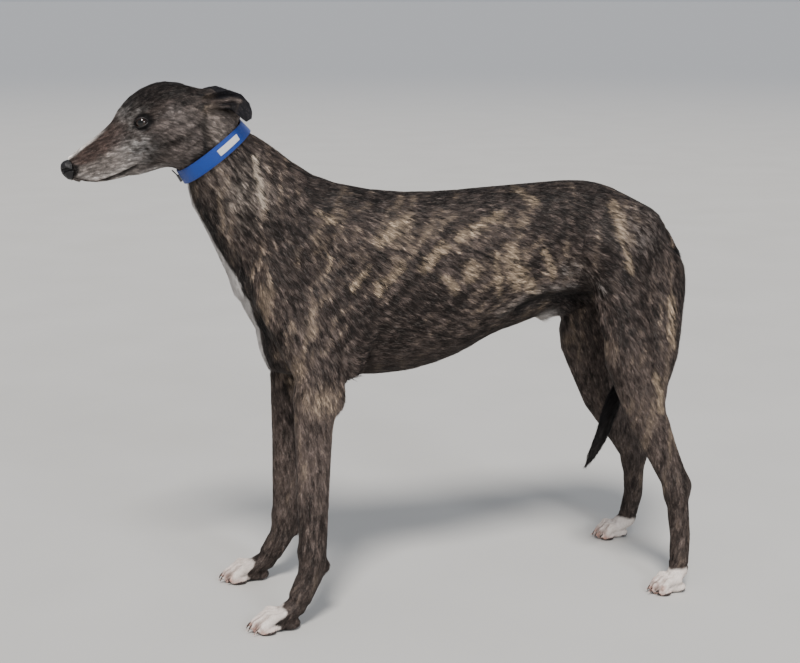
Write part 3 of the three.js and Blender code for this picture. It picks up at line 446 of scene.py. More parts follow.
places = corners(head)
ball_size = ball_radius * 1000
for side in (1, -1):
    middle = eye_axes(side)[0]
    away = (places - middle) * 1000
    a, b, deep = from_eye(places, side)
    b = b - lid_tilt * a
    distance = np.linalg.norm(away, axis=1)
    near = (deep > 0) & (distance < 24)
    arch = np.sqrt(np.clip(1 - (a / lid_half) ** 2, 1e-6, 1))
    reach = np.where(b > 0, b / (upper_lid * arch), -b / (lower_lid * arch))
    open_here = near & (np.abs(a) < lid_half) & (reach < 1)
    share = fall(np.hypot(a, 1.3 * b), 13, 20) * near
    crease = blob((b, 9.8, 1.1)) * (b > 0) - 0.3 * blob((b, 8, 1))
    wanted = np.where(open_here, ball_size - behind_slit, ball_size + lid_depth - crease_depth * crease)
    moved = away * (1 + share * (wanted / np.maximum(distance, 1) - 1))[:, None]
    places = np.where(near[:, None], middle + moved / 1000, places)
set_corners(head, places)

# Markings. The coat is a dark, greying brindle: dark brown-grey with narrow tan streaks, a white
# strip down the throat and breast, white feet, a black tail and a grizzled muzzle. The skin and the
# hair over it take their colours from the same function. The colours also hold painted shade under the
# belly, in the hollow of the flank, behind the cheeks and inside the ears, and painted highlights on the
# fold of the flank, the flank and the croup.


cells = 32  # of the table of random values, on each axis
grid_shift = 517.3  # keeps the numbers of the cells above 0


def cloud(places, lengths, seed):
    """Smooth random values from -1 to 1, in blobs about as long as the lengths on each axis."""
    table = np.random.default_rng(seed).uniform(-1, 1, (cells, cells, cells))
    grid = places / np.array(lengths) + grid_shift
    cell = np.floor(grid).astype(int)
    part = grid - cell
    part = part * part * (3 - 2 * part)
    total = np.zeros(len(places))
    for corner in np.ndindex(2, 2, 2):
        share = np.prod(np.where(corner, part, 1 - part), axis=1)
        x, y, z = ((cell + corner) % cells).T
        total += share * table[x, y, z]
    return total


def streaks(places, lean, seed):
    """Brindle streaks. They lean back from the upright by an angle in degrees."""
    turn = math.radians(lean)
    across = places[:, 0] * math.cos(turn) + places[:, 2] * math.sin(turn)
    along = places[:, 2] * math.cos(turn) - places[:, 0] * math.sin(turn)
    turned = np.column_stack([across, places[:, 1], along])
    wander = cloud(turned, (0.03, 0.03, 0.03), seed + 1)[:, None] * np.array([0.006, 0, 0])
    return (0.75 * cloud(turned + wander, (0.011, 0.05, 0.055), seed)
            + 0.45 * cloud(turned + wander, (0.0045, 0.02, 0.026), seed + 2)
            + 0.45 * cloud(turned, (0.06, 0.06, 0.08), seed + 3))


lie_of_the_coat = [  # a place, then the way the hair points there
    (0.53, 0, 0.775, -0.93, 0, 0.37), (0.45, 0.03, 0.79, -0.93, 0.1, 0.35),
    (0.46, 0.02, 0.745, -0.97, 0, 0.15), (0.4, 0.03, 0.87, -0.95, 0.1, 0.25),
    (0.35, 0.05, 0.82, -0.9, 0, -0.35), (0.33, 0, 0.89, -0.93, 0, -0.3),
    (0.38, 0.02, 0.76, -0.9, 0, -0.2), (0.28, 0.05, 0.88, -0.95, 0.1, -0.1),
    (0.24, 0.07, 0.86, -0.3, 0, -0.95), (0.27, 0.05, 0.77, -0.6, 0, -0.8),
    (0.22, 0.05, 0.69, -0.62, 0, -0.78), (0.23, 0, 0.8, -0.78, 0, -0.62), (0.33, 0, 0.7, -0.45, 0, -0.9),
    (0.26, 0.02, 0.56, -0.1, 0.25, -0.95), (0.225, 0.02, 0.47, -0.3, 0, -0.95),
    (0.11, 0, 0.715, -0.97, 0, -0.2), (0.17, 0.07, 0.6, -0.62, 0, -0.78),
    (0.17, 0.09, 0.48, -0.42, 0, -0.9), (0.02, 0.08, 0.61, -0.84, 0, -0.54),
    (-0.1, 0.08, 0.58, -0.9, 0, -0.43), (0.05, 0.04, 0.43, -0.96, 0, -0.05), (-0.1, 0, 0.715, -1, 0, 0),
    (-0.22, 0.06, 0.62, -0.93, 0, -0.36), (-0.2, 0.02, 0.51, -0.96, 0, 0.2),
    (-0.31, 0.07, 0.57, -0.85, 0, -0.3), (-0.4, 0.03, 0.69, -0.9, 0, -0.44),
    (-0.47, 0.05, 0.63, -0.5, 0, -0.87), (-0.4, 0.1, 0.55, -0.62, 0, -0.78),
    (-0.42, 0.1, 0.45, -0.5, 0, -0.87), (-0.49, 0.08, 0.5, -0.25, -0.1, -0.95),
    (-0.35, 0.1, 0.45, -0.35, 0, -0.93), (-0.44, 0.11, 0.33, -0.45, 0, -0.9),
    (-0.49, 0.12, 0.19, -0.1, 0, -1), (-0.49, 0.13, 0.09, 0.1, 0, -1), (0.15, 0.1, 0.39, -0.2, 0, -0.98),
    (0.165, 0.1, 0.25, -0.1, 0, -1), (0.17, 0.1, 0.13, 0.05, 0, -1), (0.195, 0.11, 0.07, 0.5, 0, -0.87),
    (0.245, 0.115, 0.035, 0.88, 0, -0.45), (-0.45, 0.14, 0.033, 0.88, 0, -0.45),
    (0.27, 0.115, 0.014, 0.25, 0, -0.97), (-0.432, 0.14, 0.014, 0.25, 0, -0.97),
    (0.262, 0.098, 0.014, 0.25, 0, -0.97), (0.262, 0.135, 0.014, 0.25, 0, -0.97),
    (-0.515, 0, 0.59, -0.4, 0, -0.9), (-0.527, 0, 0.5, 0.05, 0, -1), (-0.486, 0, 0.402, 0.62, 0, -0.78),
    (-0.423, 0, 0.336, 0.6, 0, -0.8), (-0.38, 0, 0.23, 0.42, 0, -0.9),
]


def hair_way(places, facing):
    """The way the hair points at each place, laid along the skin."""
    mirrored = to_left(places)
    way = np.zeros_like(places)
    for row in lie_of_the_coat:
        spot, points = np.array(row[:3]), np.array(row[3:])
        gap = ((mirrored - spot) ** 2).sum(axis=1)
        share = 1 / (gap + 0.0004) ** 2.2
        way += share[:, None] * points / np.linalg.norm(points)
    way[:, 1] *= np.sign(places[:, 1])
    way -= (way * facing).sum(axis=1)[:, None] * facing
    return way / np.maximum(np.linalg.norm(way, axis=1), 1e-9)[:, None]


def locks(places, way, size, reach, seed):
    """Random values that are drawn out along the way the hair points, as locks of hair are."""
    steps = (-1, -0.5, 0, 0.5, 1)
    return sum(cloud(places + way * reach * step, size, seed) for step in steps) / 3


def frayed(places):
    """Small sideways steps in the side view that fray the edges of the marks."""
    wide = np.column_stack([cloud(places, 0.014, 71), cloud(places, 0.014, 72)])
    fine = np.column_stack([cloud(places, 0.004, 73), cloud(places, 0.004, 74)])
    return 0.006 * wide + 0.004 * fine


def mark(flat, start, end, half):
    """1 on the line between two places of the side view, given as x and z, and 0 past its edge."""
    return fall(from_line(flat, [start, end]), 0.1 * half, 1.35 * half)


def covered(colours, *layers):
    """Lays one colour after another over the first. Each layer is a colour and its share everywhere."""
    for colour, share in layers:
        colours = colours + (np.array(colour) - colours) * share[:, None]
    return colours


black_hair = (0.006, 0.0055, 0.006)
dark_hair = (0.017, 0.0125, 0.011)
brown_hair = (0.061, 0.046, 0.04)
tan_hair = (0.315, 0.238, 0.165)
grey_hair = (0.2, 0.185, 0.175)
white_hair = (0.72, 0.67, 0.63)
blush = (0.56, 0.3, 0.24)

tan_marks = [  # start and end in the side view, and half width
    ((0.003, 0.671), (0.048, 0.64), 0.013), ((0.019, 0.6), (0.052, 0.562), 0.01),
    ((-0.057, 0.63), (-0.02, 0.593), 0.009), ((-0.165, 0.674), (-0.085, 0.64), 0.008),
    ((-0.103, 0.592), (-0.104, 0.578), 0.013), ((-0.176, 0.61), (-0.19, 0.55), 0.013),
    ((-0.19, 0.59), (-0.222, 0.54), 0.012), ((-0.147, 0.612), (-0.158, 0.54), 0.006),
    ((-0.239, 0.612), (-0.257, 0.56), 0.007), ((-0.205, 0.704), (-0.229, 0.69), 0.008),
    ((-0.366, 0.682), (-0.373, 0.635), 0.01), ((-0.373, 0.635), (-0.388, 0.575), 0.008),
    ((0.15, 0.69), (0.126, 0.672), 0.006), ((0.131, 0.622), (0.128, 0.6), 0.005),
    ((-0.06, 0.575), (-0.075, 0.555), 0.009), ((-0.47, 0.525), (-0.466, 0.45), 0.009),
    ((-0.43, 0.4), (-0.445, 0.33), 0.007), ((0.07, 0.6), (0.095, 0.56), 0.006),
]
cream_mark = ((0.247, 0.782), (0.236, 0.705), 0.0055)
strip_height = [0.44, 0.47, 0.51, 0.55, 0.58, 0.61, 0.64, 0.68, 0.72]
strip_half = [0.016, 0.015, 0.02, 0.034, 0.032, 0.022, 0.014, 0.011, 0.011]

tail_line = [(-0.5, 0.0, 0.6), (-0.524, 0.0, 0.545), (-0.527, 0.0, 0.498), (-0.514, 0.0, 0.446),
             (-0.486, 0.0, 0.402), (-0.452, 0.0, 0.368), (-0.423, 0.0, 0.336), (-0.394, 0.0, 0.262),
             (-0.363, 0.0, 0.201)]


def tail_share(places):
    """1 on the tail and 0 on the rest."""
    near = ramp(near_line(places, tail_line, 0.03), 0.66, 0.74)
    return near * (np.abs(places[:, 1]) < 0.02) * (places[:, 2] < 0.6)


def body_colours(places, facing, way):
    """The coat's colour from the collar to the toes and the tip of the tail, with painted shade and
    highlights in places.
    """
    x, y, z = places.T
    shifted = places + np.where(y > 0, 0.0, 0.37)[:, None] * np.array([1.0, 0, 0.6])
    trunk = ramp(z, 0.4, 0.5) * ramp(x, -0.3, -0.22) * fall(x, 0.1, 0.2)
    brindle = trunk * streaks(shifted, 48, 11) + (1 - trunk) * streaks(shifted, 6, 31)
    leg = fall(z, 0.36, 0.5)
    ticking = 0.8 * locks(shifted, way, 0.0036, 0.006, 23) + 0.8 * locks(shifted, way, 0.0018, 0.0035, 24)
    ticking *= 1 - 0.4 * leg
    colours = covered(
        np.tile(dark_hair, (len(places), 1)),
        (brown_hair, ramp(brindle + 0.8 * ticking + 0.25 * leg, -0.6, 0.45)),
        (tan_hair, (0.36 - 0.14 * leg) * ramp(brindle + 0.35 * ticking, 0.2, 0.9)),
        # the dark shoulder
        (dark_hair, 0.8 * blob((x, 0.205, 0.035), (z, 0.645, 0.06)) * ramp(ticking, 0.9, -0.2)))
    # the tan marks, which lie a little apart on the right side, and the cream one behind the collar
    left = (y > 0.01) | (np.abs(facing[:, 1]) < 0.2)
    edges = frayed(places)
    side_view = places[:, [0, 2]]
    swayed = side_view + np.where(left, 0, 0.013)[:, None] * np.array([1, 0.5]) + edges
    for start, end, half in tan_marks:
        share = mark(swayed, start, end, half) * ramp(ticking, -0.9, 0.05)
        colours = covered(colours, (tan_hair, 0.82 * share))
    cream = mark(side_view + 0.4 * edges, *cream_mark) * ramp(np.abs(facing[:, 1]), 0.3, 0.6)
    # a painted sheen along the flank, where the coat catches the light
    flank_sheen = near_line(places, [(-0.285, 0.065, 0.575), (-0.335, 0.085, 0.545)], 0.014)
    colours = covered(
        colours,
        ((0.46, 0.38, 0.3), 0.85 * cream * ramp(ticking, -0.8, 0.1)),
        # elbow and side of the neck, and a painted sheen on the croup and the flank
        (tan_hair, 0.6 * blob((x, 0.15, 0.03), (z, 0.388, 0.022)) * ramp(ticking, -0.5, 0.6)),
        ((0.23, 0.195, 0.165), 0.62 * blob((x, 0.27, 0.042), (z, 0.725, 0.045)) * ramp(ticking, -0.5, 0.6)),
        (grey_hair, 0.22 * blob((x, -0.405, 0.05), (z, 0.64, 0.035)) * ramp(ticking, -0.4, 0.6)),
        (grey_hair, 0.65 * flank_sheen * ramp(ticking, -0.4, 0.7)))
    colours *= (np.exp(0.75 * ticking) * (1.0 + np.where(x > 0, 0.42, 0.1) * leg))[:, None]
    half = np.interp(z, strip_height, strip_half) + 0.002 * cloud(places, 0.02, 5)
    front = ramp(facing[:, 0], -0.05, 0.12) * ramp(x, 0.17, 0.2) * ramp(z, 0.425, 0.45)
    # a painted highlight along the outward face of the flank's fold, and painted shade in the hollow under
    # it
    edge_highlight = near_line(places, flank_edge, 0.008) * ramp(facing[:, 1] * np.sign(y), 0.2, 0.6)
    hollow_shade = np.clip(1.3 * near_line(places, flank_hollow, 0.013), 0, 1)
    inner_edge = (x > 0) * fall(z, 0.33, 0.36) * ramp(z, 0.15, 0.2) * ramp(-facing[:, 0], 0.35, 0.8)
    tail = tail_share(places)
    colours = covered(
        colours,
        # the line of the back, painted shade on the underside where it faces down, the lower legs and the
        # pasterns
        (black_hair, 0.45 * ramp(z, 0.665, 0.705) * fall(x, 0.12, 0.22)),
        (dark_hair, 0.7 * ramp(-facing[:, 2], 0.35, 0.8) * ramp(z, 0.36, 0.42)),
        (dark_hair, 0.25 * fall(z, 0.1, 0.3)),
        (dark_hair, 0.35 * fall(z, 0.075, 0.15) * (x > 0)),
        # the throat and breast: a white strip with a black edge on each side
        (black_hair, 0.7 * front * fall(np.abs(y), half + 0.012, half + 0.034)),
        ((0.6, 0.57, 0.55), 0.92 * front * fall(np.abs(y), half - 0.003, half + 0.002)),
        # a painted highlight along the fold of the flank and painted shade in the hollow under it, the
        # belly's pale tip, the forearms' inner edge and the tail
        (grey_hair, 0.5 * edge_highlight * ramp(ticking, -0.5, 0.5) * ramp(x, -0.34, -0.32)),
        (black_hair, 0.9 * hollow_shade * ramp(-facing[:, 2], -0.15, 0.15)),
        (white_hair, 0.75 * blob((x, -0.262, 0.022), (y, 0, 0.016), (z, 0.484, 0.012))),
        ((0.42, 0.38, 0.35), 0.75 * inner_edge * (np.sign(y) * facing[:, 1] < 0.55)),
        (black_hair, 0.93 * tail))
    # the feet: white, with pink at the toes' ends, between the toes and low on the sides
    rough = 0.006 * cloud(places, 0.012, 9)
    for foot in feet:
        near = np.linalg.norm(places[:, :2] - on_foot(foot, 0.4, 0, 0)[:2], axis=1) < 0.075
        near &= (z < 0.09) & (tail < 0.5)
        spots = places[near]
        forward = (x[near] - foot[0] - row_shift) / foot[2] + 25 * rough[near]
        aside = np.abs(y[near] - foot[1] - side_shift) / foot[3]
        high = z[near] / foot[4] + 12 * rough[near]
        start = 0.37 - 0.2 * ramp(high, 0.55, 1.05) if foot[0] > 0 else -0.36
        white = ramp(forward, start - 0.03, start + 0.05) * fall(high, 1.2, 1.4)
        dusk = white * blob((forward, start, 0.16)) * ramp(high, 0.5, 1.2)
        cleft = blob((aside, 0.26, 0.05)) + blob((aside, 0, 0.05))
        tips = np.where(aside > 0.26, ramp(forward, 0.68, 0.84), ramp(forward, 0.82, 0.98))
        blood = np.clip(0.65 * tips + 0.6 * fall(high, 0.15, 0.5) * ramp(forward, 0.3, 0.6), 0, 0.8)
        brown = tips * ramp(high, 0.25, 0.5) * ramp(cloud(spots, 0.005, 16), -0.6, 0.5)
        colours[near] = covered(
            colours[near],
            ((0.88, 0.79, 0.73), white),
            ((0.1, 0.085, 0.08), 0.55 * dusk * ramp(ticking[near], -0.4, 0.5)),
            (blush, white * blood * ramp(cloud(spots, 0.006, 15), -0.9, 0.4)),
            ((0.2, 0.095, 0.075), white * 0.8 * cleft * ramp(forward, 0.45, 0.7)),
            ((0.16, 0.1, 0.075), 0.55 * white * brown))
    return colours


ear_tree = {}
for name in ("ear_left", "ear_right"):
    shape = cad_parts[name].data
    ear_tree[name] = BVHTree.FromPolygons([corner.co for corner in shape.vertices],
                                          [face.vertices for face in shape.polygons])


def on_ear(places):
    """1 within 2 mm of the leaf of an ear, and 0 elsewhere."""
    back, up, _ = head_measures(places)
    found = np.zeros(len(places))
    for index in np.nonzero((back > 228) & (up > -60))[0]:
        tree = ear_tree["ear_left" if places[index, 1] > 0 else "ear_right"]
        if tree.find_nearest(places[index], 0.0024)[0] is not None:
            found[index] = 1
    return found


def along_mouth(back, out):
    """1 beside the line of the lips and 0 behind it."""
    return ramp(np.abs(out), 1, 4) * fall(back, 106, 114) * ramp(back, 2, 6)


whisker_roots = [(34, -25), (41, -28), (48, -20), (53, -27), (58, -34), (64, -25), (71, -33), (78, -28)]
cheek_furrow_up = [-70, -59, -46, -31, -16, 0, 14, 24]
cheek_furrow_back = [186, 212, 218, 222, 227, 236, 241, 243]


def head_colours(places, way, ear):
    """The coat's colour before the collar, with painted shade behind the cheeks and inside the ears."""
    back, up, out = head_measures(places)
    side = np.abs(out)
    mottle = streaks(places, 62, 47)
    grizzle = cloud(places, (0.006, 0.006, 0.004), 53)
    below_band = -13 + 0.1 * back + 4 * cloud(places, 0.012, 61)
    lip = above_mouth(back, up)
    cheek = ramp(back, 140, 170) * fall(up, -5, 25)
    skull_side = blob((back, 185, 20), (up, 14, 13)) * ramp(side, 25, 38)
    frost = blob((back, 124, 16), (up, 42, 14)) * fall(side, 26, 40)
    temple = blob((back, 212, 10), (up, 2, 14)) * ramp(side, 30, 42)
    strip = fall(side, 4.5, 9.5) * ramp(up, 2, 9) * ramp(back, 12, 18) * fall(back, 50, 100)
    colours = covered(
        np.tile(dark_hair, (len(places), 1)),
        (brown_hair, ramp(mottle, -0.6, 0.7)),
        # the cheek, the skull's sides and the crown
        ((0.125, 0.103, 0.094), 0.8 * cheek * ramp(mottle, -0.7, 0.5)),
        ((0.17, 0.145, 0.135), 0.65 * skull_side * ramp(grizzle, -0.8, 0.5)),
        ((0.008, 0.006, 0.0055), 0.88 * ramp(up, 26, 46) * ramp(back, 105, 130)),
        # the dark band along the bridge of the nose, the paler sides of the muzzle and the patch behind them
        ((0.052, 0.034, 0.029), 0.85 * ramp(up, -14, -4) * fall(back, 100, 125) * ramp(back, 14, 30)),
        ((0.22, 0.19, 0.172),
         0.8 * fall(up, below_band - 7, below_band + 5) * fall(back, 96, 128)),
        ((0.27, 0.255, 0.245), 0.85 * blob((back, 118, 24), (up, -16, 21)) * ramp(grizzle, -0.9, 0.1)),
        # the upper lip, the strip on the bridge, the frosted forehead, the dark before the cheek, the temple
        ((0.4, 0.36, 0.335), 0.7 * blob((lip, 6, 6)) * fall(back, 92, 112) * ramp(back, 10, 26)),
        (white_hair, 0.95 * strip),
        (grey_hair, 0.65 * frost * ramp(grizzle, -0.7, 0.5)),
        ((0.02, 0.017, 0.017), 0.75 * blob((back, 149, 9), (up, -15, 17)) * ramp(grizzle, -0.9, 0.5)),
        ((0.16, 0.135, 0.12), 0.6 * temple * ramp(grizzle, -0.6, 0.5)))
    for eye_side in (1, -1):  # a pale arc over each eye, and black round it
        a, b, deep = from_eye(places, eye_side)
        near = deep > -4
        ring = np.hypot(a, 1.25 * b)
        arc = blob((ring, 22, 4.5)) * ramp(b + 0.45 * a, 2, 12) * near
        dark = np.maximum(fall(ring, 14.5, 19) * near, blob((a, 17, 6), (b, -1, 4)) * near)
        colours = covered(colours, (grey_hair, 0.6 * arc * ramp(grizzle, -0.8, 0.4)),
                          (black_hair, 0.92 * dark))
    # painted shade in the furrow behind each cheek
    cheek_furrow_shade = blob((back, np.interp(up, cheek_furrow_up, cheek_furrow_back), 5.5)) * ramp(side, 28, 38)
    chin = np.maximum(fall(up, -58, -48) * fall(back, 120, 165),
                      fall(lip, -6, -3.5) * fall(back, 60, 110) * ramp(back, 8, 20))
    throat_strip = fall(side, 9, 14) * ramp(back, 170, 190) * fall(up, -70, -60)
    lower_lip = blob((lip, -2.4, 1.8)) * ramp(back, 40, 60)
    mouth = along_mouth(back, out) * (blob((lip, 0, 1.2)) + 0.75 * lower_lip)
    edge = 13 + 9 * blob((up, -9, 9))
    near_nose = fall(back, edge, edge + 4) * ramp(up, -25, -18)
    colours = covered(
        colours,
        # the brow, painted shade in the furrow behind the cheek, the neck behind it and the dark throat
        (grey_hair, 0.45 * blob((back, 118, 9), (up, 36, 12), (side, 16, 14))),
        (black_hair, 0.9 * cheek_furrow_shade),
        ((0.2, 0.168, 0.145), 0.65 * blob((back, 240, 15), (up, -42, 26))),
        (black_hair, 0.5 * ramp(back, 165, 190) * fall(up, -62, -50) * (side > 12)),
        ((0.32, 0.295, 0.28), 0.65 * chin),
        (white_hair, 0.85 * throat_strip),
        ((0.012, 0.009, 0.009), np.clip(mouth, 0, 1)),
        ((0.008, 0.0065, 0.0065), 0.93 * near_nose * (1 - 0.6 * strip)))
    colours *= np.exp(0.4 * grizzle + 0.8 * locks(places, way, 0.0024, 0.0045, 57))[:, None]
    for spot_back, spot_up in whisker_roots:
        dot = blob((back, spot_back, 1.6), (up, spot_up, 1.6))
        colours = covered(colours, ((0.03, 0.024, 0.022), 0.7 * dot))
    root = blob((back, 246, 15), (up, 14, 20)) * ramp(side, 22, 34)
    flap = ear * ramp(back, 250, 268)
    fold = near_line(places, ear_fold, 0.003) + near_line(places, ear_edge, 0.0022)
    fold = np.clip(fold + 0.7 * near_line(places, ear_inner, 0.0024), 0, 1)
    # the hollow inside each ear: dark bare skin with painted shade over it
    inside = blob((back, 270, 13), (up, -12, 7)) * (side > 40)
    return covered(
        colours,
        (tan_hair, 0.42 * root * ramp(mottle, -0.2, 0.5)),
        ((0.007, 0.007, 0.01), 0.95 * flap),
        ((0.03, 0.024, 0.022), 0.6 * ear * (1 - flap)),
        ((0.12, 0.092, 0.08), 0.75 * fold * (side > 40)),
        # painted shade, over dark bare skin, in the hollow inside the ear
        ((0.004, 0.003, 0.003), 0.8 * inside * (1 - fold)))


def painted(piece, colours):
    """Stores a colour at each corner of a piece."""
    layer = piece.data.color_attributes.new("coat_colour", "FLOAT_COLOR", "POINT")
    layer.data.foreach_set("color", np.column_stack([colours, np.ones(len(colours))]).ravel())


body_places, body_facing = corners(body), outward(body)
painted(body, body_colours(body_places, body_facing, hair_way(body_places, body_facing)))
head_points, head_facing = corners(head), outward(head)
head_ears = on_ear(head_points)
painted(head, head_colours(head_points, hair_way(head_points, head_facing), head_ears))


def new_material(name, **sockets):
    """A material whose shader sockets are set by name, with underscores for spaces."""
    made = bpy.data.materials.new(name)
    made.use_nodes = True
    shader = made.node_tree.nodes["Principled BSDF"]
    for key, value in sockets.items():
        shader.inputs[key.replace("_", " ")].default_value = value
    return made, made.node_tree, shader


def feed(tree, socket, value):
    """Links a socket to the output of another node, or sets it to a plain value."""
    if isinstance(value, bpy.types.NodeSocket):
        tree.links.new(value, socket)
    else:
        socket.default_value = value


def node(tree, kind, **settings):
    """Adds a node. Settings that name a socket feed it, and the others set the node's own choice."""
    made = tree.nodes.new(kind)
    for key, value in settings.items():
        socket = key.replace("_", " ")
        if socket in made.inputs:
            feed(tree, made.inputs[socket], value)
        else:
            setattr(made, key, value)
    return made


def pattern(tree, kind, stretch=(1, 1, 1), **settings):
    """A texture on the piece's own coordinates, drawn out by the stretch."""
    place = node(tree, "ShaderNodeTexCoord").outputs["Object"]
    mapping = node(tree, "ShaderNodeMapping", Vector=place, Scale=stretch)
    return node(tree, "ShaderNodeTex" + kind, Vector=mapping.outputs["Vector"], **settings)


def value_of(texture):
    return texture.outputs.get("Fac") or texture.outputs["Distance"]


def bumped(tree, shader, texture, strength, distance, invert=False):
    """Raises the high values of a texture, or its low ones where it is inverted."""
    bump = node(tree, "ShaderNodeBump", Height=value_of(texture), Strength=strength, Distance=distance,
                invert=invert)
    tree.links.new(bump.outputs["Normal"], shader.inputs["Normal"])


def ranged(tree, value, **ends):
    """Draws a value out between new ends."""
    return node(tree, "ShaderNodeMapRange", Value=value, **ends).outputs["Result"]


def haired(name, tones, texture, **sockets):
    """A finish that varies the coat's stored colour with fine grain."""
    made, tree, shader = new_material(name, **sockets)
    paint = node(tree, "ShaderNodeAttribute", attribute_name="coat_colour")
    grain = pattern(tree, "Noise", **texture)
    tinted = node(tree, "ShaderNodeVectorMath", operation="SCALE", Vector=paint.outputs["Color"],
                  Scale=ranged(tree, value_of(grain), To_Min=tones[0], To_Max=tones[1]))
    tree.links.new(tinted.outputs["Vector"], shader.inputs["Base Color"])
    return made, tree, shader, grain


hide, tree, shader, grain = haired(
    "hide", (0.55, 1.25), {"Scale": 420.0, "Detail": 3.0, "stretch": (1, 1, 0.35)},
    Roughness=0.65, Specular_IOR_Level=0.12)
bumped(tree, shader, grain, strength=0.5, distance=0.0004)


def finished(piece, material, smooth=180):
    """Gives a piece its material, smooth shading and its place on the one rigid body."""
    select_only(piece)
    bpy.ops.object.shade_smooth_by_angle(angle=math.radians(smooth))
    piece.data.materials.clear()
    piece.data.materials.append(material)
    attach(piece, "root")


for piece in (body, head):
    finished(piece, hide)
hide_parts(*[name for name in flesh if name not in head_nodes])
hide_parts("head", "lower_jaw", "ear_left", "ear_right")

# The coat: short, close hair over the whole hide. Each tuft is a thin kite that is rooted in the
# skin and lies along the body, longer at the edge of the belly, the breast, the hams and the tail.

def rooted(piece, density, seed):
    """Roots spread over a piece, so many to each square millimetre, and the skin's direction there."""
    mesh = piece.data
    mesh.calc_loop_triangles()
    triangles = listed(mesh.loop_triangles, "vertices", 3, np.int64)
    places, facing = corners(piece), outward(piece)
    a, b, c = (places[triangles[:, k]] for k in range(3))
    area = np.linalg.norm(np.cross(b - a, c - a), axis=1) / 2 * 1e6
    wanted = np.cumsum(area * density[triangles].mean(axis=1))
    draw = np.random.default_rng(seed)
    steps = np.arange(int(wanted[-1])) + draw.random(int(wanted[-1]))
    chosen = np.minimum(np.searchsorted(wanted, steps), len(triangles) - 1)
    first, second = draw.random((2, len(chosen)))
    over = first + second > 1
    first, second = np.where(over, 1 - first, first), np.where(over, 1 - second, second)
    shares = np.column_stack([1 - first - second, first, second])[:, :, None]
    corner = triangles[chosen]
    roots = (places[corner] * shares).sum(axis=1)
    normal = (facing[corner] * shares).sum(axis=1)
    return roots, normal / np.linalg.norm(normal, axis=1)[:, None], corner, shares


coat = haired("short_coat", (0.7, 1.3), {"Scale": 900.0, "Detail": 2.0},
              Roughness=0.55, Specular_IOR_Level=0.16)[0]
kite = [0, 1, 3, 1, 2, 3]  # the corners of its two triangles


def tufts(title, hair, chosen, unwrapped, seed):
    """One piece of coat: a kite on every chosen root, with its patch on the unwrap of the skin."""
    roots, facing, way, length, width, rise, colours = (values[chosen] for values in hair)
    count = len(roots)
    draw = np.random.default_rng(seed)
    across = np.cross(facing, way)
    turn = draw.normal(0, 0.16, count)[:, None]
    way = way * np.cos(turn) + across * np.sin(turn)
    across = np.cross(facing, way)
    roll = draw.normal(0, 0.22, count)[:, None]
    broad = across * np.cos(roll) + facing * np.sin(roll)
    length = (length * draw.uniform(0.7, 1.25, count))[:, None]
    width = (width * draw.uniform(0.75, 1.25, count))[:, None] / 2
    rise = (rise * draw.uniform(0.6, 1.2, count))[:, None]
    middle = roots + way * length * 0.45 + facing * rise * 0.75
    shape = np.stack([roots - facing * 0.00025, middle + broad * width,
                      roots + way * length + facing * rise, middle - broad * width], axis=1)
    shape[:, :, 2] = np.maximum(shape[:, :, 2], 0.0003)
    mesh = bpy.data.meshes.new(title)
    mesh.vertices.add(count * 4)
    mesh.vertices.foreach_set("co", shape.ravel())
    mesh.loops.add(count * 6)
    mesh.loops.foreach_set("vertex_index", (np.arange(count)[:, None] * 4 + np.array(kite)).ravel())
    mesh.polygons.add(count * 2)
    mesh.polygons.foreach_set("loop_start", np.arange(count * 2) * 3)
    mesh.update(calc_edges=True)
    piece = new_object(title, mesh)
    grades = np.array([0.75, 1.0, 1.22, 1.0])[None, :, None]  # darker at the root, paler at the tip
    painted(piece, np.clip(colours[:, None, :] * grades, 0, 1).reshape(-1, 3))
    patch = 0.0015 * np.array([(0, -1), (1, 0), (0, 1), (-1, 0)])
    spots = (0.003 + 0.994 * unwrapped)[:, None, :] + patch
    mesh.uv_layers.new(name="OFBake").data.foreach_set("uv", spots[:, kite].ravel())
    finished(piece, coat)
    return piece


def rolled_out(along, first, second, slices=25):
    """An unwrap round a long part: its length one way and the turn about its middle the other."""
    steps = np.linspace(along.min(), along.max() + 1e-6, slices)
    bins = np.digitize(along, steps) - 1
    count = np.maximum(np.bincount(bins, minlength=slices), 1)
    middle = [np.bincount(bins, line, slices)[bins] / count[bins] for line in (first, second)]
    turn = np.arctan2(second - middle[1], first - middle[0]) / (2 * math.pi) + 0.5
    return np.column_stack([(along - along.min()) / np.ptp(along), turn])


def hair_tones(colours, seed, grizzled, lock):
    """Each tuft's own tone: near its lock's, and paler on some where the coat is greying."""
    draw = np.random.default_rng(seed)
    count = len(colours)
    toned = colours * np.exp(draw.normal(0, 0.25, count) + 0.9 * lock)[:, None]
    pale = (draw.random(count) < grizzled * (0.6 + 2.5 * np.clip(lock, 0, 1)))[:, None]
    return np.where(pale, toned * 0.6 + np.array([0.05, 0.044, 0.04]), toned)


def on_legs(z):
    return fall(z, 0.3, 0.42)


def on_feet(z):
    return fall(z, 0.05, 0.09)


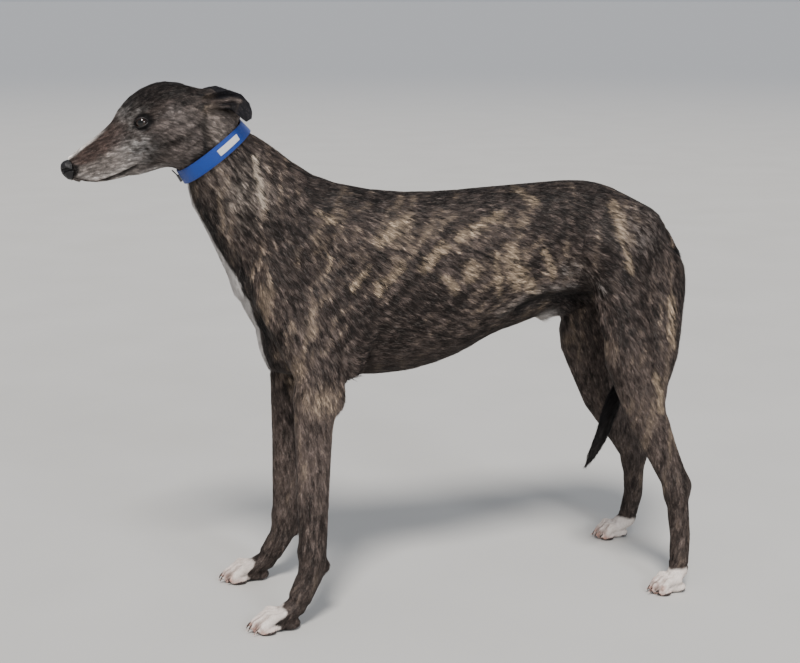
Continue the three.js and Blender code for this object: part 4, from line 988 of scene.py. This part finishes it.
z = body_places[:, 2]
density = 0.38 + 0.22 * on_legs(z) + 0.5 * on_feet(z)
density = np.where(tail_share(body_places) > 0.5, 0.55, density)
roots, facing, *_ = rooted(body, density, 101)
x, y, z = roots.T
on_tail = tail_share(roots) > 0.5
fringe = ramp(-facing[:, 2], 0.4, 0.8) * (z > 0.4) * (x < 0.1) * (x > -0.34)
ham = ramp(-facing[:, 0], 0.55, 0.9) * (x < -0.4) * (z > 0.3) * (z < 0.62)
breast = ramp(facing[:, 0], 0.5, 0.9) * (x > 0.18) * (z > 0.42) * (z < 0.62)
longer = np.max([0.7 * fringe, 0.6 * ham, 0.3 * breast], axis=0)
down_neck = (roots - collar_middle) @ neck_run
banded = fall(down_neck, 0.013, 0.017) * (x > 0.12)  # the hair lies flat under the collar
toe_ends = ramp(facing[:, 0], 0.2, 0.6) * fall(z, 0.022, 0.03) * ~on_tail
length = (0.0115 - 0.0035 * on_legs(z) - 0.0048 * on_feet(z)) * (1 + longer)
length = np.where(on_tail, 0.016, length) * (1 - 0.6 * banded) * (1 - 0.62 * toe_ends)
width = 0.00085 - 0.00015 * on_legs(z) - 0.00015 * on_feet(z)
rise = (0.001 - 0.0003 * on_legs(z) - 0.00035 * on_feet(z)) * (1 + 1.4 * longer)
rise = np.where(on_tail, 0.002, rise) * (1 - 0.85 * banded) * (1 - 0.6 * toe_ends)
way = hair_way(roots, facing)
colours = body_colours(roots, facing, way)
pale = colours.mean(axis=1) > 0.35
lock = locks(roots, way, 0.0018, 0.004, 105)
toned = hair_tones(colours, 103, np.where(pale, 0, 0.12) * ~on_tail, lock)
pale_tones = colours * np.random.default_rng(104).uniform(0.85, 1.05, (len(roots), 1))
toned = np.where(pale[:, None], pale_tones, toned)
hair = (roots, facing, way, length, width, rise, toned)

below_knee = z < 0.4
parts = {
    "coat_tail": on_tail,
    "coat_foreleg_left": below_knee & (x > 0) & (y > 0),
    "coat_foreleg_right": below_knee & (x > 0) & (y <= 0),
    "coat_hindleg_left": below_knee & (x <= 0) & (y > 0),
    "coat_hindleg_right": below_knee & (x <= 0) & (y <= 0),
    "coat_neck": (down_neck < 0.165) & (x > 0.12),
    "coat_chest": x > 0.03,
    "coat_ribs": x > -0.17,
    "coat_loin": x > -0.345,
    "coat_rump": x <= -0.345,
}
left_over = np.ones(len(roots), bool)
for number, (title, chosen) in enumerate(parts.items()):
    chosen = chosen & left_over
    left_over &= ~chosen
    x, y, z = roots[chosen].T
    if title == "coat_tail" or "leg" in title:
        unwrapped = rolled_out(z, x, y)
    elif title == "coat_neck":
        away = roots[chosen] - collar_middle
        unwrapped = rolled_out(away @ neck_run, away @ np.cross(neck_run, [0, 1, 0]), y)
    else:
        unwrapped = rolled_out(x, y, z)
    piece = tufts(title, hair, chosen, unwrapped, 200 + number)

# The hair of the face and ears. It is the shortest and finest on the dog, and shortest of all on the
# muzzle. It is made of the same tufts as the coat, and leaves the nose and the rims of the lids bare.

back, up, out = head_measures(head_points)
muzzle = fall(back, 60, 150)
density = 1.15 + 0.35 * muzzle
for side in (1, -1):
    a, b, deep = from_eye(head_points, side)
    bare = (np.hypot(a, 1.45 * (b - lid_tilt * a)) < 11.6) & (deep > 0)
    density = np.where(bare, 0, density)
from_nose = (head_points - in_head(6, -7, 0)) * 1000
bare_nose = (from_nose @ backwards / 20.3) ** 2 + (from_nose @ upwards / 19) ** 2
bare_nose = bare_nose + (from_nose[:, 1] / 17.5) ** 2 < 1
density = np.where(bare_nose, 0, density)
in_mouth = along_mouth(back, out) * blob((above_mouth(back, up), 0, 1.0)) > 0.5
density = np.where(in_mouth, 0.15, density)
roots, facing, corner, shares = rooted(head, density, 301)
ear = (head_ears[corner] * shares[:, :, 0]).sum(axis=1)
back, up, out = head_measures(roots)
banded = ramp((roots - collar_middle) @ neck_run, -0.019, -0.015)
length = (0.0034 + 0.003 * ramp(back, 60, 170)) * (1 - 0.45 * ear) * (1 - 0.5 * banded)
width = 0.00048 + 0.00014 * ramp(back, 60, 170)
rise = (0.0004 + 0.00025 * ramp(back, 90, 190)) * (1 - 0.5 * ear) * (1 - 0.8 * banded)
way = hair_way(roots, facing)
colours = head_colours(roots, way, ear)
pale = colours.mean(axis=1) > 0.5
grizzled = np.where(pale, 0, 0.12 + 0.18 * blob((back, 118, 30))) * (1 - 0.8 * ear)
for side in (1, -1):
    grizzled *= ramp(np.linalg.norm(roots - eye_axes(side)[0], axis=1), 0.017, 0.022)
lock = locks(roots, way, 0.0015, 0.003, 305)
toned = hair_tones(colours, 303, grizzled, lock)
toned = np.where(pale[:, None], colours * np.exp(0.3 * lock)[:, None], toned)
hair = (roots, facing, way, length, width, rise, toned)
parts = {
    "coat_ears": ear > 0.5,
    "coat_face_left": (ear <= 0.5) & (out > 0),
    "coat_face_right": (ear <= 0.5) & (out <= 0),
}
for number, (title, chosen) in enumerate(parts.items()):
    piece = tufts(title, hair, chosen, rolled_out(back[chosen], out[chosen], up[chosen]), 310 + number)

# The eyes: wet brown globes with a wide dark pupil, each under a clear bulge at the front and set in
# a rim of bare black skin. The rim is one ring that follows the edge of both lids.


def tones(tree, value, *stops):
    """Turns a value into colours. Each stop is a position from 0 to 1 and a colour."""
    tone = node(tree, "ShaderNodeValToRGB", Fac=value)
    elements = tone.color_ramp.elements
    for number, (position, colour) in enumerate(stops):
        stop = elements[number] if number < 2 else elements.new(position)
        stop.position = position
        stop.color = (*colour, 1)
    return tone.outputs["Color"]


def blended(tree, share, first, second, blend_type="MIX"):
    """A mix of two colours. The share and the colours are outputs of nodes or plain values."""
    mix = node(tree, "ShaderNodeMix", data_type="RGBA", blend_type=blend_type)
    for number, value in ((0, share), (6, first), (7, second)):
        feed(tree, mix.inputs[number], value)
    return mix.outputs[2]


def grained(name, texture, low, high, relief, **sockets):
    """A finish whose fine pattern runs between two colours and stands up as relief."""
    made, tree, shader = new_material(name, **sockets)
    grain = pattern(tree, **texture)
    tree.links.new(tones(tree, value_of(grain), (0, low), (1, high)), shader.inputs["Base Color"])
    bumped(tree, shader, grain, *relief)
    return made


def primitive(operator, **settings):
    """A new primitive that is the only thing selected."""
    bpy.ops.object.select_all(action="DESELECT")
    operator(**settings)
    return bpy.context.active_object


eyeball, tree, shader = new_material("eye", Roughness=0.05, Specular_IOR_Level=0.55)
from_pupil = node(tree, "ShaderNodeAttribute", attribute_name="from_pupil")
rings = tones(tree, from_pupil.outputs["Fac"], (0.34, (0.002, 0.002, 0.002)), (0.42, (0.03, 0.012, 0.005)),
              (0.66, (0.018, 0.007, 0.003)), (0.76, (0.003, 0.002, 0.002)), (0.92, (0.018, 0.012, 0.011)))
flecks = pattern(tree, "Noise", Scale=900.0, Detail=3.0)
flecked = blended(tree, 0.5, rings, flecks.outputs["Color"], "MULTIPLY")
tree.links.new(flecked, shader.inputs["Base Color"])
rim_skin = grained("rim_skin", {"kind": "Noise", "Scale": 1400.0, "Detail": 2.0}, (0.006, 0.005, 0.005),
                   (0.026, 0.02, 0.019), (0.4, 0.0002), Roughness=0.38, Specular_IOR_Level=0.5)
rim_radius = 0.01

for name, side in (("left", 1), ("right", -1)):
    middle, gaze, fore, rise = eye_axes(side)
    ball = primitive(bpy.ops.mesh.primitive_uv_sphere_add, segments=48, ring_count=32, radius=ball_radius,
                     location=middle, rotation=Vector(gaze).to_track_quat("Z", "Y").to_euler())
    ball.name = "eyeball_" + name
    bpy.ops.object.transform_apply()
    places = corners(ball)
    away = places - middle
    distance = np.linalg.norm(away, axis=1)
    angle = np.arccos(np.clip(away @ gaze / distance, -1, 1))
    bulge = 0.0009 * np.clip(1 - (angle / 0.75) ** 2, 0, 1)
    set_corners(ball, places + away / distance[:, None] * bulge[:, None])
    ball.data.attributes.new("from_pupil", "FLOAT", "POINT").data.foreach_set("value", angle)
    finished(ball, eyeball)
    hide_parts("eye_" + name)

    rim = primitive(bpy.ops.mesh.primitive_torus_add, major_segments=64, minor_segments=12,
                    major_radius=rim_radius, minor_radius=0.001)
    rim.name = "lid_rim_" + name
    plain = corners(rim)
    turn = np.arctan2(plain[:, 1], plain[:, 0])
    tube_out = (np.hypot(plain[:, 0], plain[:, 1]) - rim_radius) * 1000
    tube_up = plain[:, 2] * 1000
    high = np.where(np.sin(turn) > 0, upper_lid, lower_lid) + 0.15
    thick = np.where(np.sin(turn) > 0, 1.45, 1.15)
    a = (lid_half + 0.1) * np.cos(turn)
    b = high * np.sin(turn)
    scale = 1 + tube_out * thick / np.hypot(a, b)
    a, b = a * scale, b * scale
    b = b + lid_tilt * a
    deep = np.sqrt(np.maximum((ball_size + 0.55) ** 2 - a ** 2 - b ** 2, 9)) + tube_up * thick * 0.9
    set_corners(rim, middle + (a[:, None] * fore + b[:, None] * rise + deep[:, None] * gaze) / 1000)
    edited(rim, bpy.ops.mesh.normals_make_consistent, inside=False)
    finished(rim, rim_skin)

# The nose leather: a pad of bare, pebbled skin with comma-shaped nostrils and a groove down its
# middle. It is the solid's own cap made fine and smooth.

nose = remade(["nose"], "nose_leather", by=0.0002, voxel=0.00055, rounds=14)
places, facing = corners(nose), outward(nose)
back, up, out = head_measures(places)
lift = -0.9 * blob((out, 0, 0.8)) * fall(back, 6, 14) * fall(up, 0, 6)
lift -= 1.2 * ramp(back, 8, 15) + 0.5 * ramp(up, 0, 8)
for side in (1, -1):  # the nostril: a round hole that runs out in a slit
    for middle, half, height in [
        ((1, -6, 6), 2.8, -2.6), ((4, -6, 9), 2.2, -1.2), ((12, -8.5, 14), 3.2, 1.0),
        ((5, -11, 10), 2.6, -0.5),
    ]:
        lift += height * blob(*zip((back, up, out * side), middle, (half,) * 3))
set_corners(nose, places + facing * lift[:, None] / 1000)
leather = grained("nose_leather", {"kind": "Voronoi", "Scale": 1150.0}, (0.012, 0.011, 0.012),
                  (0.004, 0.0035, 0.004), (0.55, 0.00025, True), Roughness=0.46, Specular_IOR_Level=0.4)
finished(nose, leather)
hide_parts("nose")

# Claws and pads. Each toe ends in a curved horn claw and rests on a pad of thick bare skin, with one
# larger pad behind them. Both are set into the skin of the foot.

horn = grained("claw_horn", {"kind": "Noise", "Scale": 500.0, "Detail": 3.0, "stretch": (0.4, 1, 1)},
               (0.014, 0.01, 0.009), (0.085, 0.055, 0.042), (0.3, 0.0002), Roughness=0.34,
               Specular_IOR_Level=0.5)
pad_skin = grained("pad_skin", {"kind": "Voronoi", "Scale": 900.0}, (0.06, 0.042, 0.038),
                   (0.02, 0.015, 0.014), (0.5, 0.0004), Roughness=0.62, Specular_IOR_Level=0.35)


def claw(curve, radius):
    """A ball drawn out along a bent line: blunt at its root, and narrow and pointed at its end."""
    made = primitive(bpy.ops.mesh.primitive_uv_sphere_add, segments=12, ring_count=14, radius=1)
    ball = corners(made)
    share = (1 - ball[:, 2]) / 2
    start, bend, end = (np.array(point) for point in curve)
    t = share[:, None]
    line = start * (1 - t) ** 2 + 2 * bend * t * (1 - t) + end * t ** 2
    run = 2 * (bend - start) * (1 - t) + 2 * (end - bend) * t
    run /= np.linalg.norm(run, axis=1)[:, None]
    sideways = np.array([0, 1.0, 0])
    thick = radius * np.sqrt(np.clip(share * 8, 0, 1)) * (1 - 0.85 * share ** 1.6)
    thick = np.where((share < 0.001) | (share > 0.999), 0, thick)
    flat = np.hypot(ball[:, 0], ball[:, 1]).clip(1e-6)
    ring = ball[:, :2] / flat[:, None] * np.where(flat > 1e-4, 1, 0)[:, None]
    ring = ring[:, :1] * sideways * 0.72 + ring[:, 1:] * np.cross(run, sideways)
    set_corners(made, line + ring * thick[:, None])
    edited(made, bpy.ops.mesh.normals_make_consistent, inside=False)
    return made


def pad(middle, half):
    """A cushion that is round on its sides and flat where it stands on the floor."""
    made = primitive(bpy.ops.mesh.primitive_ico_sphere_add, subdivisions=3, radius=1)
    shape = np.array(middle) + corners(made) * np.array(half)
    shape[:, 2] = np.maximum(shape[:, 2], 0.0002)
    set_corners(made, shape)
    return made


claws, pads = [], []
for foot in feet:
    long, broad, tall = foot[2:]
    pads.append(pad(on_foot(foot, 0.02, 0, 0.17), (0.24 * long, 0.33 * broad, 0.17 * tall)))
    for row, reach in toe_rows.items():
        claws.append(claw([on_foot(foot, 0.9 * reach, 0.262 * row, 0.42),
                           on_foot(foot, 1.06 * reach, 0.27 * row, 0.38),
                           on_foot(foot, 1.09 * reach, 0.272 * row, 0.12)], radius=0.0027))
        pads.append(pad(on_foot(foot, 0.74 * reach, 0.26 * row, 0.13),
                        (0.19 * long, 0.118 * broad, 0.15 * tall)))
for side, inner_toe in ((1, (0.286, 0.104, 0.088)), (-1, (0.291, 0.109, 0.084))):
    x = inner_toe[0] + row_shift - 0.002
    y = (inner_toe[1] - 0.017) * side + side_shift
    z = inner_toe[2] - 0.008
    claws.append(claw([(x + 0.001, y - 0.001 * side, z - 0.006), (x + 0.006, y - 0.005 * side, z - 0.012),
                       (x + 0.0065, y - 0.0055 * side, z - 0.02)], radius=0.003))
claws = joined(claws, "claws")
pads = joined(pads, "pads")
finished(claws, horn)
finished(pads, pad_skin)

# The collar: a band of flat blue webbing with a darker woven edge, a plain white cloth label sewn
# to its left side with small stitches, and a dark metal ring on a keeper under the throat.

webbing, tree, shader = new_material("webbing", Roughness=0.48, Specular_IOR_Level=0.4,
                                     Sheen_Weight=0.15, Sheen_Roughness=0.4)
uv = node(tree, "ShaderNodeUVMap", uv_map="weave").outputs["UV"]
weave = node(tree, "ShaderNodeTexBrick", Vector=uv, Scale=1.0, offset=0.5, Mortar_Size=0.16,
             Mortar_Smooth=0.6, Brick_Width=1.3, Row_Height=0.62, Color1=(0.006, 0.07, 0.42, 1),
             Color2=(0.005, 0.056, 0.35, 1), Mortar=(0.002, 0.022, 0.16, 1))
across = node(tree, "ShaderNodeSeparateXYZ", Vector=uv).outputs["Y"]
from_middle = node(tree, "ShaderNodeMath", operation="ABSOLUTE", Value=across)
edge = ranged(tree, from_middle.outputs["Value"], From_Min=10.2, From_Max=11.2)
edged = blended(tree, edge, weave.outputs["Color"], (0.004, 0.04, 0.26, 1))
tree.links.new(edged, shader.inputs["Base Color"])
bumped(tree, shader, weave, strength=0.6, distance=0.0003, invert=True)

nape_way = np.cross([0, 1, 0], neck_run)
band_radius = 56  # in millimetres


def wrapped_map(piece, title):
    """A map in millimetres: round the neck one way, and across the band the other."""
    away = corners(piece) - collar_middle
    turn = np.arctan2(away[:, 1], away @ nape_way)
    across = away @ neck_run
    loops = listed(piece.data.loops, "vertex_index", 1, np.int64).ravel()
    around = turn[loops]
    starts = np.array([face.loop_start for face in piece.data.polygons])
    sizes = np.array([face.loop_total for face in piece.data.polygons])
    first = np.repeat(around[starts], sizes)
    around = around + 2 * math.pi * np.round((first - around) / (2 * math.pi))
    layer = piece.data.uv_layers.new(name=title)
    layer.data.foreach_set("uv", np.column_stack([around * band_radius, across[loops] * 1000]).ravel())


def rounded_copy(name, title, width):
    """A finer copy of a node, with its long edges rounded."""
    made = copied([name], title)
    edited(made, bpy.ops.mesh.tris_convert_to_quads)
    edited(made, bpy.ops.mesh.subdivide, number_cuts=2, smoothness=0.0)
    apply_modifier(made, "BEVEL", width=width, segments=2, limit_method="ANGLE",
                   angle_limit=math.radians(50))
    return made


collar = rounded_copy("collar", "collar_band", width=0.0006)
wrapped_map(collar, "weave")
finished(collar, webbing, 40)
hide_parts("collar")

label = rounded_copy("collar_label", "collar_tag", width=0.0003)
wrapped_map(label, "weave")
cloth, tree, shader = new_material("label_cloth", Roughness=0.6, Specular_IOR_Level=0.3)
uv = node(tree, "ShaderNodeUVMap", uv_map="weave").outputs["UV"]
threads = node(tree, "ShaderNodeTexBrick", Vector=uv, Scale=2.6, offset=0.5, Mortar_Size=0.08,
               Color1=(0.82, 0.83, 0.83, 1), Color2=(0.76, 0.77, 0.78, 1), Mortar=(0.62, 0.63, 0.65, 1))
stain = pattern(tree, "Noise", Scale=90.0, Detail=4.0)
stain_share = ranged(tree, stain.outputs["Fac"], From_Min=0.45, To_Max=0.25)
stained = blended(tree, stain_share, threads.outputs["Color"], (0.72, 0.7, 0.66, 1), "MULTIPLY")
tree.links.new(stained, shader.inputs["Base Color"])
bumped(tree, shader, threads, strength=0.35, distance=0.0002, invert=True)
finished(label, cloth, 40)
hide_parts("collar_label")

ring = copied(["collar_ring"], "throat_ring")
remeshed(ring, voxel=0.0003)
relaxed(ring, rounds=8)
metal, tree, shader = new_material("dark_metal", Metallic=1.0)
wear = pattern(tree, "Noise", Scale=260.0, Detail=4.0).outputs["Fac"]
worn = tones(tree, wear, (0, (0.045, 0.046, 0.05)), (1, (0.16, 0.16, 0.165)))
tree.links.new(worn, shader.inputs["Base Color"])
tree.links.new(ranged(tree, wear, To_Min=0.25, To_Max=0.5), shader.inputs["Roughness"])
finished(ring, metal)
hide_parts("collar_ring")

# The studio: a plain pale floor that reaches far past the dog and turns blue-grey far off, soft light from
# above and in front, and the camera where the photographer stood, a little above the dog's back and before
# its shoulder.

floor = primitive(bpy.ops.mesh.primitive_plane_add, size=3000)
floor.name = "floor"
paper, tree, shader = new_material("pale_floor", Roughness=0.8, Specular_IOR_Level=0.2)
mottle = pattern(tree, "Noise", Scale=3.0, Detail=5.0).outputs["Fac"]
near_tone = tones(tree, mottle, (0, (0.56, 0.55, 0.53)), (1, (0.64, 0.63, 0.61)))
place = node(tree, "ShaderNodeTexCoord").outputs["Object"]
reach = node(tree, "ShaderNodeVectorMath", operation="LENGTH", Vector=place)
far = ranged(tree, reach.outputs["Value"], From_Min=2.0, From_Max=22.0, interpolation_type="SMOOTHERSTEP")
tree.links.new(blended(tree, far, near_tone, (0.385, 0.398, 0.42, 1)), shader.inputs["Base Color"])
floor.data.materials.append(paper)

world = bpy.data.worlds.new("studio")
bpy.context.scene.world = world
world.use_nodes = True
background = world.node_tree.nodes["Background"]
background.inputs["Color"].default_value = (0.87, 0.91, 0.98, 1)
background.inputs["Strength"].default_value = 0.5


def turned(holder, place, way):
    """Puts a lamp or the camera at its place, and turns it to look along the way."""
    holder.location = place
    holder.rotation_euler = way.to_track_quat("-Z", "Y").to_euler()


def lamp(name, kind, place, target, power, colour, **settings):
    light = bpy.data.lights.new(name, kind)
    light.energy = power
    light.color = colour
    for key, value in settings.items():
        setattr(light, key, value)
    turned(new_object(name, light), place, Vector(target) - Vector(place))


lamp("key", "SUN", (0.7, 1.9, 3.2), (0, 0, 0.4), 3.4, (1.0, 0.96, 0.91), angle=math.radians(14))
lamp("fill", "AREA", (-1.1, 3.3, 2.0), (0.1, 0, 0.6), 40, (0.94, 0.97, 1.0), shape="DISK", size=0.8)

camera = bpy.data.cameras.new("camera")
camera.sensor_width = 36
camera.lens = 67.5
viewpoint = new_object("camera", camera)
look_down = math.radians(12.46)
looking = Vector((-0.2756 * math.cos(look_down), -0.9613 * math.cos(look_down), -math.sin(look_down)))
turned(viewpoint, (0.791 + row_shift, 2.4055, 1.021), looking)
bpy.context.scene.camera = viewpoint
